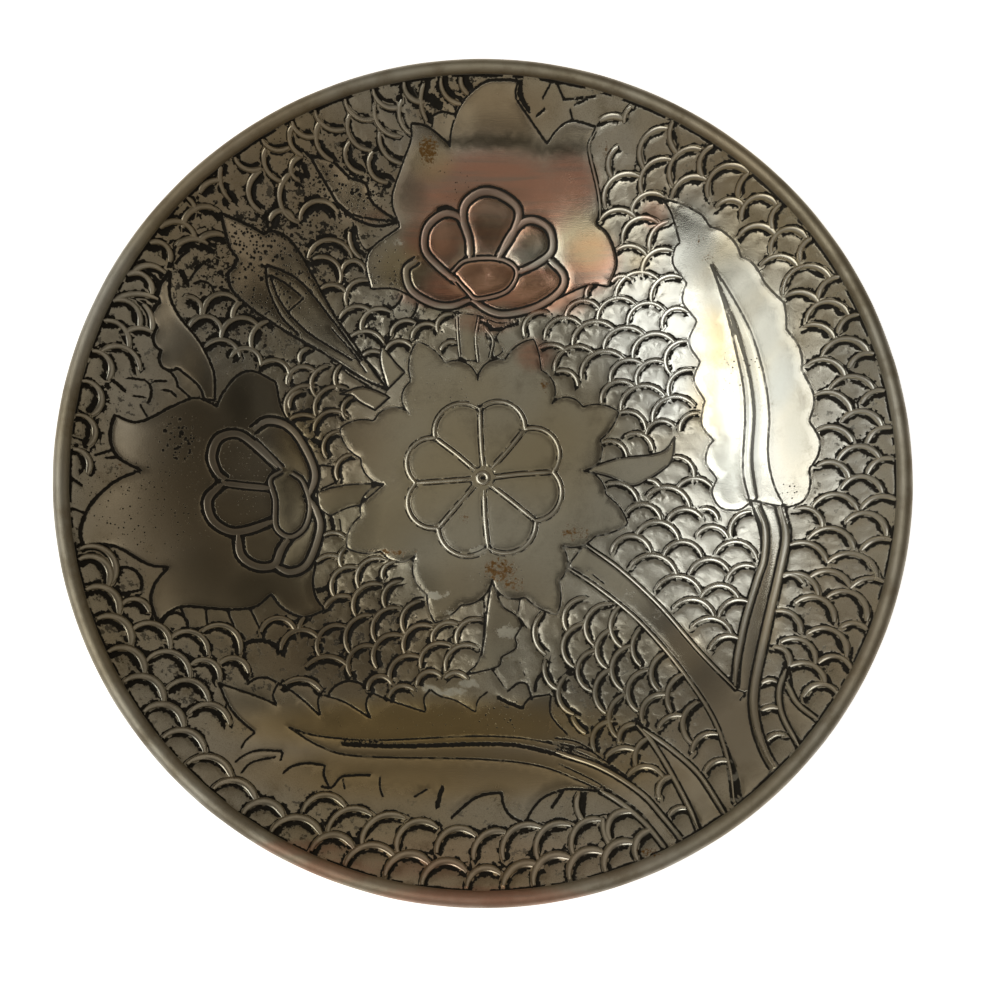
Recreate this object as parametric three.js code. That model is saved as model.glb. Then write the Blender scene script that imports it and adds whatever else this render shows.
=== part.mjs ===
// A shallow silver-plated bowl: a raised sheet body, a slotted round bead soldered over its lip,
// and a low foot ring soldered under its flat base. Every piece is turned about +Z.
// Units are millimetres. The origin is the middle of the face that the bowl stands on.
import * as THREE from "three";

// The body, raised from sheet.
const rimRadius = 100;        // widest point of the finished bowl, outside the bead
const innerDepth = 32;        // from the bead's middle down to the flat of the inside
const wall = 1.2;             // sheet thickness
const baseRadius = 34;        // where the inside's flat ends and its wall starts to curve up

// The bead over the lip.
const beadRadius = 1.8;       // section of the round wire that the bead is made of
const lipInBead = 0.4;        // how far the lip passes the middle of the bead's section
const solderFilm = 0.2;       // solder between the lip and the slot that holds it

// The foot ring, bent from strip, with a small rounded toe.
const footTopRadius = 33;     // outside of the strip where it meets the base
const footToeRadius = 36;     // outside of the strip at the middle of its toe
const footHeight = 5;         // from the standing face to the strip's top edge
const footStrip = 1.6;        // thickness of the strip
const footToeHeight = 1.8;    // height of the toe
const footBed = 0.25;         // solder between the strip and the base
const filletLeg = 1.1;        // reach of the solder fillets on each side of the strip

// How finely round shapes are drawn.
const turns = 72;             // facets round the bowl
const wallSteps = 12;         // facets along the wall's curve
const beadSteps = 16;         // facets round the bead's section

// Heights that follow from the sizes above.
const baseUnderside = footHeight + footBed;
const baseInside = baseUnderside + wall;
const beadHeight = baseInside + innerDepth;
const beadCentreRadius = rimRadius - beadRadius;

// The wall is one arc about wallCentre, which leaves the flat base tangentially and whose middle
// surface passes through the centre of the bead.
const wallRun = beadCentreRadius - baseRadius;
const wallRise = beadHeight - (baseInside - wall / 2);
const middleRadius = (wallRun * wallRun + wallRise * wallRise) / (2 * wallRise);
const beadAngle = Math.asin(wallRun / middleRadius);
const lipAngle = beadAngle + lipInBead / middleRadius;
const wallCentre = new THREE.Vector2(baseRadius, baseInside - wall / 2 + middleRadius);

// A point of the wall, at an angle from the base's edge, offset from the middle surface:
// a positive offset is towards the inside of the bowl.
function onWall(angle, offset) {
  const radius = middleRadius - offset;
  return new THREE.Vector2(
    wallCentre.x + radius * Math.sin(angle),
    wallCentre.y - radius * Math.cos(angle),
  );
}

// Angle along the wall, short of the bead, at which a line at the given offset enters the bead's
// round section.
function angleAtBeadSurface(offset) {
  const along = Math.sqrt(beadRadius * beadRadius - offset * offset);
  return beadAngle - along / middleRadius;
}

// Points of one face of the wall, from a first angle to a last one.
function wallFace(offset, from, to, steps) {
  const points = [];
  for (let i = 0; i <= steps; i++) {
    points.push(onWall(from + ((to - from) * i) / steps, offset));
  }
  return points;
}

// A closed solid of revolution from a profile whose points run anticlockwise in (radius, height).
function turned(profile) {
  return new THREE.LatheGeometry([...profile, profile[0].clone()], turns).rotateX(Math.PI / 2);
}

// Places in the slot that the lip, its solder and the bead share.
const slotHalf = wall / 2 + solderFilm;
const mouthAngle = angleAtBeadSurface(slotHalf);
const slotEndAngle = lipAngle + solderFilm / middleRadius;

// The body: its inside and outside faces meet at the lip, and both flats close on the axis.
function bowlBody() {
  const outside = [
    ...wallFace(-wall / 2, 0, mouthAngle, wallSteps),
    onWall(lipAngle, -wall / 2),
  ];
  const inside = [
    onWall(lipAngle, wall / 2),
    ...wallFace(wall / 2, mouthAngle, 0, wallSteps),
  ];
  const profile = [
    new THREE.Vector2(0, baseUnderside),
    ...outside,
    ...inside,
    new THREE.Vector2(0, baseInside),
  ];
  return new THREE.LatheGeometry(profile, turns).rotateX(Math.PI / 2);
}

// The solder that fills the slot round the lip: a U of film thickness.
function rimSolder() {
  const half = wall / 2;
  return turned([
    onWall(mouthAngle, -slotHalf),
    onWall(slotEndAngle, -slotHalf),
    onWall(slotEndAngle, slotHalf),
    onWall(mouthAngle, slotHalf),
    onWall(mouthAngle, half),
    onWall(lipAngle, half),
    onWall(lipAngle, -half),
    onWall(mouthAngle, -half),
  ]);
}

// The bead: round wire with a slot that the lip and its solder fill.
function rimBead() {
  const centre = onWall(beadAngle, 0);
  const mouthOuter = onWall(mouthAngle, -slotHalf);
  const mouthInner = onWall(mouthAngle, slotHalf);
  const start = Math.atan2(mouthOuter.y - centre.y, mouthOuter.x - centre.x);
  let end = Math.atan2(mouthInner.y - centre.y, mouthInner.x - centre.x);
  if (end < start) end += 2 * Math.PI;
  const round = [];
  for (let i = 1; i < beadSteps; i++) {
    const angle = start + ((end - start) * i) / beadSteps;
    round.push(
      new THREE.Vector2(
        centre.x + beadRadius * Math.cos(angle),
        centre.y + beadRadius * Math.sin(angle),
      ),
    );
  }
  return turned([
    mouthOuter,
    ...round,
    mouthInner,
    onWall(slotEndAngle, slotHalf),
    onWall(slotEndAngle, -slotHalf),
  ]);
}

// The foot ring: strip that stands upright under the base, then flares to a rounded toe with a
// flat standing face.
function footRing() {
  const topInner = footTopRadius - footStrip;
  const toeInner = footToeRadius - footStrip;
  const filletEnd = footHeight - filletLeg;
  const bulge = footStrip / 4;
  return turned([
    new THREE.Vector2(toeInner + bulge, 0),
    new THREE.Vector2(footToeRadius - bulge, 0),
    new THREE.Vector2(footToeRadius + bulge, footToeHeight / 3),
    new THREE.Vector2(footToeRadius + bulge, (footToeHeight * 2) / 3),
    new THREE.Vector2(footToeRadius - bulge, footToeHeight),
    new THREE.Vector2(footTopRadius + bulge, (footToeHeight + filletEnd) / 2),
    new THREE.Vector2(footTopRadius, filletEnd),
    new THREE.Vector2(footTopRadius, footHeight),
    new THREE.Vector2(topInner, footHeight),
    new THREE.Vector2(topInner, filletEnd),
    new THREE.Vector2(topInner + bulge, (footToeHeight + filletEnd) / 2),
    new THREE.Vector2(toeInner - bulge, footToeHeight),
    new THREE.Vector2(toeInner, footToeHeight / 2),
  ]);
}

// The solder under the base: a thin bed over the strip's top edge, with a hollow fillet down
// each side of the strip.
function footSolder() {
  const topInner = footTopRadius - footStrip;
  const filletEnd = footHeight - filletLeg;
  const hollow = filletLeg / 3;
  return turned([
    new THREE.Vector2(topInner, footHeight),
    new THREE.Vector2(footTopRadius, footHeight),
    new THREE.Vector2(footTopRadius, filletEnd),
    new THREE.Vector2(footTopRadius + hollow, footHeight - hollow),
    new THREE.Vector2(footTopRadius + filletLeg, baseUnderside),
    new THREE.Vector2(topInner - filletLeg, baseUnderside),
    new THREE.Vector2(topInner - hollow, footHeight - hollow),
    new THREE.Vector2(topInner, filletEnd),
  ]);
}

// Colours from the photograph: tarnished silver plate, and duller solder.
const silver = { color: 0x9a9382, roughness: 0.32, metalness: 1 };
const solder = { color: 0x6e6a62, roughness: 0.6, metalness: 1 };

const pieces = [
  ["bowl_body", bowlBody(), silver],
  ["rim_bead", rimBead(), silver],
  ["rim_solder", rimSolder(), solder],
  ["foot_ring", footRing(), silver],
  ["foot_solder", footSolder(), solder],
];

const bowl = new THREE.Group();
for (const [name, geometry, finish] of pieces) {
  const mesh = new THREE.Mesh(geometry, new THREE.MeshStandardMaterial(finish));
  mesh.name = name;
  bowl.add(mesh);
}

export default bowl;
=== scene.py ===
import math
import random

import bmesh
import bpy
import numpy as np
from mathutils import Matrix, Vector, kdtree
from mathutils.geometry import delaunay_2d_cdt


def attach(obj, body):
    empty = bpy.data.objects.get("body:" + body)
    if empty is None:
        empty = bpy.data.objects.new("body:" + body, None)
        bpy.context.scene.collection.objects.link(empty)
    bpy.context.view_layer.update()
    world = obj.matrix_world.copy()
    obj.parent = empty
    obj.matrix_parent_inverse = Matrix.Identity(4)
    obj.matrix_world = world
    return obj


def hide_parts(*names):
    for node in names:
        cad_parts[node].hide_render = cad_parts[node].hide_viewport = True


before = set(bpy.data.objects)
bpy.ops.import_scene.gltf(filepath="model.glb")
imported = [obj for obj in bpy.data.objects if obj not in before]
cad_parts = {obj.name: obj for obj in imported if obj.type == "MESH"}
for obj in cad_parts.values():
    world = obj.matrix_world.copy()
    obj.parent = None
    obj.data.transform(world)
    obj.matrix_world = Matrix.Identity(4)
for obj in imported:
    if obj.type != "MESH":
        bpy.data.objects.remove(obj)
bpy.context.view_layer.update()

# Sizes of the bowl in millimetres, as its solids have them.
MM = 0.001
RIM_RADIUS = 100.0
INNER_DEPTH = 32.0
WALL = 1.2
BASE_RADIUS = 34.0
BEAD_RADIUS = 1.8
LIP_IN_BEAD = 0.4
SOLDER_FILM = 0.2
FOOT_TOP_RADIUS = 33.0
FOOT_TOE_RADIUS = 36.0
FOOT_HEIGHT = 5.0
FOOT_STRIP = 1.6
FOOT_TOE_HEIGHT = 1.8
FOOT_BED = 0.25
FILLET_LEG = 1.1

BASE_UNDERSIDE = FOOT_HEIGHT + FOOT_BED
BASE_INSIDE = BASE_UNDERSIDE + WALL
BEAD_HEIGHT = BASE_INSIDE + INNER_DEPTH
BEAD_CENTRE = RIM_RADIUS - BEAD_RADIUS
WALL_RUN = BEAD_CENTRE - BASE_RADIUS
WALL_RISE = BEAD_HEIGHT - (BASE_INSIDE - WALL / 2)
MIDDLE_RADIUS = (WALL_RUN ** 2 + WALL_RISE ** 2) / (2 * WALL_RISE)
WALL_CENTRE_HEIGHT = BASE_INSIDE - WALL / 2 + MIDDLE_RADIUS
INSIDE_RADIUS = MIDDLE_RADIUS - WALL / 2
BEAD_ANGLE = math.asin(WALL_RUN / MIDDLE_RADIUS)
LIP_ANGLE = BEAD_ANGLE + LIP_IN_BEAD / MIDDLE_RADIUS

# Where the bead's inner edge meets the inside of the wall.
SLOT_HALF = WALL / 2 + SOLDER_FILM
MOUTH_ANGLE = BEAD_ANGLE - math.sqrt(BEAD_RADIUS ** 2 - SLOT_HALF ** 2) / MIDDLE_RADIUS
SEAM_RADIUS = BASE_RADIUS + INSIDE_RADIUS * math.sin(MOUTH_ANGLE)

# The camera, fitted to the rim's outline and the middle of the base in the picture.
CAMERA_DISTANCE = 270.0
CAMERA_TILT = math.radians(9.843)
CAMERA_AZIMUTH = math.radians(-93.449)
FOCAL_PIXELS = 1157.96
PICTURE_SIZE = 1000.0
AXIS_PIXEL = np.array([484.38, 457.03])
SENSOR_WIDTH = 36.0

camera_aim = np.array([0.0, 0.0, BEAD_HEIGHT])
towards_camera = np.array([
    math.sin(CAMERA_TILT) * math.cos(CAMERA_AZIMUTH),
    math.sin(CAMERA_TILT) * math.sin(CAMERA_AZIMUTH),
    math.cos(CAMERA_TILT),
])
camera_place = camera_aim + CAMERA_DISTANCE * towards_camera
camera_right = np.cross(-towards_camera, [0.0, 1.0, 0.0])
camera_right /= np.linalg.norm(camera_right)
camera_up = np.cross(camera_right, -towards_camera)

# The chased motifs: how wide the line round each is cut, in millimetres, and its outline in pixels
# of the picture. A line is written as corners "x,y", points "~x,y" of a smooth stretch, and corners
# "x,y,b" with a round arc to the next corner, which rises b times their distance, to the left of
# the way that the line runs. A motif at 0 is only smooth, and has its edges among the lines.
MOTIFS = {
    "medallion": (0.34, """
    478,380,.25 505,360,.13 534,339,.05 541,370,.23 552,404,.27 583,407,.14 619,412,.08 600,440,.27
    583,471,.20 606,495,.10 628,524,.07 595,536,.18 561,545,.22 559,581,.09 557,615,.08 525,597,.25
    492,579,.20 461,605,.08 435,623,.07 427,594,.20 416,554,.27 381,551,.11 347,548,.15 361,516,.24
    384,484,.21 361,458,.15 340,428,.13 374,421,.28 410,414,.26 411,381,.12 417,341,.10 445,363,.26
    """),
    "top_flower": (0.42, """
    450,147 ~452,128 ~462,103 ~483,83 ~505,80 518,81 ~516,97 ~530,119 547,144 ~557,130 ~572,121 596,127
    ~588,146 ~593,170 ~600,205 596,223 ~609,236 ~617,262 609,287 ~590,285 ~563,296 ~535,312 ~508,318
    ~484,312 472,302 ~445,309 ~420,301 ~395,289 371,289 ~366,265 ~373,247 400,227 ~392,200 ~401,168 ~411,140
    411,123 ~428,127 448,143
    """),
    "left_flower": (0.58, """
    217,406 ~223,393 ~237,376 ~253,371 276,382 ~282,409 ~298,433 ~315,458 ~319,480 314,495 ~320,510 ~324,532
    ~317,559 ~313,580 ~316,597 325,610 ~304,617 ~284,609 271,594 ~254,607 ~224,609 ~188,606 ~173,610 158,622
    ~151,600 ~156,582 169,567 ~148,564 ~120,548 ~100,544 83,546 ~81,528 ~92,503 ~116,481 142,470 ~122,460
    ~112,446 ~111,430 115,415 ~139,422 ~173,406 ~196,398
    """),
    "right_leaf": (0.34, """
    662,199 ~680,204 ~700,214 710,227 ~722,231 ~735,243 741,257 ~752,263 760,274 ~767,286 784,303 ~786,318
    786,329 ~798,345 ~802,360 801,369 ~812,390 ~814,403 809,421 ~819,438 ~818,455 809,469 ~810,485 ~803,501
    785,508 750,503 ~738,510 ~720,507 ~712,492 717,479 ~706,462 ~709,446 714,441 ~702,425 ~703,407 705,401
    ~694,380 700,362 ~689,342 697,321 ~683,303 ~684,290 687,284 ~673,264 ~675,248 680,243 ~671,213
    """),
    "left_leaf": (0.58, """
    170,271 ~158,290 160,303,-.28 158,327,-.28 162,351,-.45 178,368 ~198,385 205,400 215,400 ~214,372
    ~200,342 ~180,317 ~170,295 171,272
    """),
    "bud": (0.66, """
    221,214 ~230,217 ~250,226 264,234 ~272,231 ~288,238 ~302,256 ~317,283 ~334,314 ~360,352 388,390 ~360,377
    ~325,354 ~295,337 ~265,318 ~245,303 ~231,288 228,272 ~234,267 238,258 ~231,250 ~227,238
    """),
    "top_left_leaf": (0.62, """
    310,156 ~330,160 350,178 ~366,184 ~372,202 398,222 ~375,226 ~345,212 ~326,184
    """),
    "bottom_leaf": (0, """
    219,683 ~240,690 ~260,697 278,705 300,699 321,716 345,702 371,718 398,702 426,712 452,700 476,712
    500,700 523,708 ~535,697 552,694 ~554,714 568,735 ~594,752 ~640,791 ~668,824 684,840 ~665,848 ~640,818
    600,790 ~565,787 ~540,797 527,812 503,793 ~476,796 452,812 427,789 ~405,790 ~371,786 345,788 324,770
    ~300,765 284,770 270,757 243,758 243,744 256,732 ~232,709
    """),
    "main_stem": (0.34, """
    584,545 ~620,570 ~660,606 ~700,653 737,690 ~740,655 ~751,600 ~761,545 ~752,505 750,500 785,507 ~789,535
    ~779,590 ~763,660 ~758,705 ~766,742 779,768 742,803 ~737,775 ~722,735 ~700,695 ~660,645 ~620,605 567,567
    """),
    "rim_leaf_left": (0.45, """
    636,723 ~680,755 ~710,787 727,814 701,830 ~683,790 ~662,755
    """),
    "rim_leaf_right": (0.45, """
    789,667 ~796,700 819,721 801,746 ~784,720 ~778,695
    """),
    "east_leaf": (0.4, """
    584,471 ~605,462 ~625,457 ~647,455 ~665,450 675,436 ~672,460 ~660,472 ~647,480 ~632,486 ~610,477 590,472
    """),
    "south_leaf": (0.36, """
    492,579 ~502,605 ~517,616 522,626 515,637 ~516,648 501,657 ~500,665 491,669 465,675 ~478,662 ~484,640
    ~487,610
    """),
    "west_leaf": (0.34, """
    384,484 ~360,484 ~340,486 317,492 ~320,508 330,516 ~347,508 360,505
    """),
    "north_stem": (0.26, """
    456,312 ~457,335 459,358 479,362 ~478,335 482,316
    """),
    "north_leaf": (0.26, """
    483,317 ~486,335 494,358 ~503,350 ~497,335 519,320 ~500,323
    """),
    "north_west_leaf_up": (0.44, """
    382,344 ~380,360 ~385,380 388,389 405,372 ~395,362 386,350
    """),
    "north_west_leaf_low": (0.44, """
    340,394 ~360,387 ~375,390 390,397 375,410 ~360,402 352,395
    """),
}

# Chased dark lines, by place, set apart by semicolons: how wide each is in millimetres, and where
# it runs.
LINES = {
    "on the leaf at the right": """
    .34 711,265 ~721,293 ~733,338 ~743,385 ~745,420 ~743,470 750,503;
    .45 714,272 ~732,320 ~747,365 ~754,410 ~752,460 757,497; .34 712,265 ~733,298 ~751,333 ~763,372 ~769,412
    ~768,455 ~774,485 785,507; .26 716,277 ~738,330 ~749,372
    """,
    "on the long leaf at the bottom": """
    .36 289,727 ~320,736 ~380,740 ~480,736 ~540,741 ~590,757 625,777; .85 343,744 ~400,746 ~480,744 ~515,745
    ~540,750 ~560,755; .36 289,727 ~320,746 ~360,756 ~480,759 ~540,766 ~580,781 605,792;
    .32 560,764 ~600,784 ~640,812 ~655,832; .32 548,741 ~585,749 ~600,757 ~623,773 ~640,788;
    .4 555,738 ~575,741 592,750
    """,
    "round the long leaf": """
    .42 219,683 ~240,690 ~260,697 278,705 ~273,695 279,682 ~300,697 321,716 ~318,700 325,688;
    .42 325,695 ~345,702 371,718 ~366,705 370,692 ~395,702 426,712 ~424,698 430,690;
    .36 430,689 ~440,696 ~455,700 476,712 ~478,700 487,692; .8 498,697 ~505,701 522,708;
    .46 522,708 ~530,698 551,694 ~551,715 567,734; .4 219,683 ~230,707 ~243,722 256,732 ~246,740 242,747;
    .4 236,761 ~246,754 ~260,750 283,751 281,760; .4 242,772 ~250,763 ~262,759 275,757;
    .46 284,772 ~292,766 ~307,763 325,765 ~324,775 330,787; .46 322,786 ~332,787 ~341,777 ~355,775 370,775;
    .34 343,780 345,788; .4 380,777 ~380,787 383,796; .4 415,796 427,789; .95 437,806 442,788;
    .55 452,817 ~465,805 476,797 ~485,794 502,792 ~503,803 ~510,815 523,822;
    .46 527,819 ~533,808 ~545,796 ~565,789 ~580,789 600,791; .46 509,690 ~518,683 527,683 532,699;
    .75 535,690 ~537,680 543,672; .3 560,700 572,712; .3 574,719 584,730; .3 492,669 505,688;
    .26 520,662 525,675; .26 520,600 518,615 527,628
    """,
    "on the bud and beside it": """
    .6 267,265 ~285,272 ~303,284 ~330,317 ~362,360; .6 266,266 ~268,287 ~281,316 ~298,334;
    .55 272,276 ~285,283 301,296; .55 271,278 ~278,297 288,313 ~310,334 352,360; .45 288,312 303,299;
    .35 303,343 ~330,357 372,384; .5 340,205 ~352,214 ~372,219 396,221;
    .4 356,226 ~359,240 ~366,250 374,246; 1.2 304,166 308,176; .5 308,214,.3 330,218;
    .4 190,280 ~197,270 209,259; .45 176,264 ~182,256 189,251; .8 141,273,.35 156,296;
    .5 195,284,.3 214,292; 1.2 181,271 188,284; .45 195,268 210,259
    """,
    "round the left flower": """
    .7 113,380 ~118,384 125,391; .5 129,378 145,380; .55 150,384 ~152,392 149,402; .45 134,396 144,397;
    .55 164,390 ~171,391 176,396; .45 180,388 190,397; .5 155,381 166,381; .5 172,373 ~177,380 178,387;
    .4 141,405 147,416; .5 96,455 112,450; .55 107,458 116,457; .45 72,508 86,513 84,521; .55 72,478 82,485;
    .4 71,437 83,440; .45 107,545 112,560; .6 112,574,.45 141,590 118,594; .6 163,622,.45 188,626;
    .45 182,609 189,628; .45 206,608 208,627; .45 228,611 234,626; .45 250,608 260,628;
    1 243,645,.22 284,655; .5 248,684,.2 275,681; .55 329,694,.28 369,690
    """,
    "between the left flower and the medallion": """
    1.3 313,439 324,446; 1.2 318,590 332,587; .4 321,489 336,482; .95 331,517 334,530; .3 340,520 341,530;
    .4 322,465 337,467 337,478; .36 331,328 ~350,350 366,372; .36 331,362 ~350,375 372,388;
    .36 340,325 ~360,352 380,375; .55 402,296,.2 380,310; .55 417,304,.25 393,322; .7 391,322 411,318;
    .6 415,320 438,322
    """,
    "over the top flower and beside it": """
    1.3 465,80 472,89; 1.6 445,82 ~447,90 452,97; 1.8 433,100 441,108; .4 431,117 ~442,112 456,115;
    1.1 520,84 ~521,98 528,110; .4 557,84 564,100; .4 564,100 595,97; .5 537,116 544,110; .4 543,98 550,85;
    .4 575,105 587,100; .4 570,110 572,118; .6 453,209 ~446,206 ~438,209; 1.1 487,325 ~496,330 517,323
    """,
    "small lines round the medallion": """
    .25 588,571 604,583; .3 484,600 ~484,625 482,655; .3 740,700 ~745,693 737,690; .8 585,793 583,815;
    .6 552,807 562,792
    """,
}

# Raised bars: the width, and the width of the grooves on both sides, in millimetres, and the middle
# line of each. Those of the two open flowers are flat bands.
ROSE_BANDS = """
1.8 .58 470,258 ~469,240 ~463,219 ~466,203 ~482,192 ~501,195 ~518,209 ~515,229 497,260; 1.6 .58 456,281
~440,268 ~425,250 ~427,228 ~443,214 ~458,216 465,228; 1.6 .58 417,260 ~406,270 ~411,290 ~431,303 ~450,306
470,300; 1.6 .58 497,260 ~513,232 ~530,220 ~549,229 ~552,250 ~538,263 517,273; 1.6 .58 549,259 ~564,276
~559,292 ~536,307 ~507,314 ~490,311 472,300; .8 .5 452,272 ~467,260 ~500,259 ~517,271 ~507,291 ~478,299
~468,292 456,279; 1.7 .8 278,467 ~256,446 ~238,434 ~219,438 ~212,456 ~217,472 225,480;
1.4 .55 222,483 ~247,486 270,488; 1.7 .8 222,484 ~208,499 ~212,519 ~229,531 ~248,530 273,521; 1.7 .8 238,534
~241,555 ~256,566 ~274,565 ~281,550 288,539; 1.6 .8 274,565 ~290,572 ~308,563 ~320,530 ~317,512 309,498;
1.6 .8 253,430 ~267,421 ~286,425 ~301,441 ~315,473 308,498; 1.1 .5 255,441 282,468; 1 .55 281,471 ~270,480
~275,500 ~276,527 ~290,537 ~305,527 ~310,505 ~303,482 292,473
"""
BARS = """
1.2 .24 483,466 ~481,440 480,409; 1.2 .24 491,469 ~508,450 525,429; 1.2 .24 495,477 ~520,474 553,472;
1.2 .24 492,486 ~514,503 536,521; 1.2 .24 484,490 ~485,518 488,548; 1.2 .24 474,486 ~456,507 438,528;
1.2 .24 471,479 ~445,481 416,483; 1.2 .24 475,470 ~455,453 435,438; 1.2 .2 480,409,.34 525,429,.38
553,472,.32 536,521,.31 488,548; 1.2 .2 488,548,.32 438,528,.38 416,483,.38 435,438,.35 480,409;
.85 .34 586,545 ~620,569 ~660,606 ~700,652 736,689; .85 .34 568,568 ~600,589 ~640,622 ~680,668 ~713,718
~729,765 734,802; 1.45 .4 757,507 ~765,528 ~764,558 ~757,580 ~745,620 ~737,660 735,686; 1.85 .4 780,506
~786,535 ~780,570 ~766,630 ~754,690 ~756,725 ~765,752 774,768;
1.1 .4 637,725 ~652,742 ~672,775 ~690,810 698,829; 1.1 .4 643,729 ~670,748 ~697,772 ~716,800 725,814;
1 .4 786,669 ~779,690 ~782,715 799,747; 1.1 .4 786,682 ~797,703 818,720;
1.1 .4 556,752 ~600,767 ~640,792 ~664,818 682,840; 1.1 .4 600,790 ~620,802 ~645,823 665,848;
.7 .24 479,317 ~476,338 478,362; .6 .24 457,314 ~458,336 460,357; .55 .24 485,328 ~493,340 490,357;
.6 .3 595,132 ~589,145 ~591,160 ~597,185 ~600,205 600,220
"""

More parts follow.
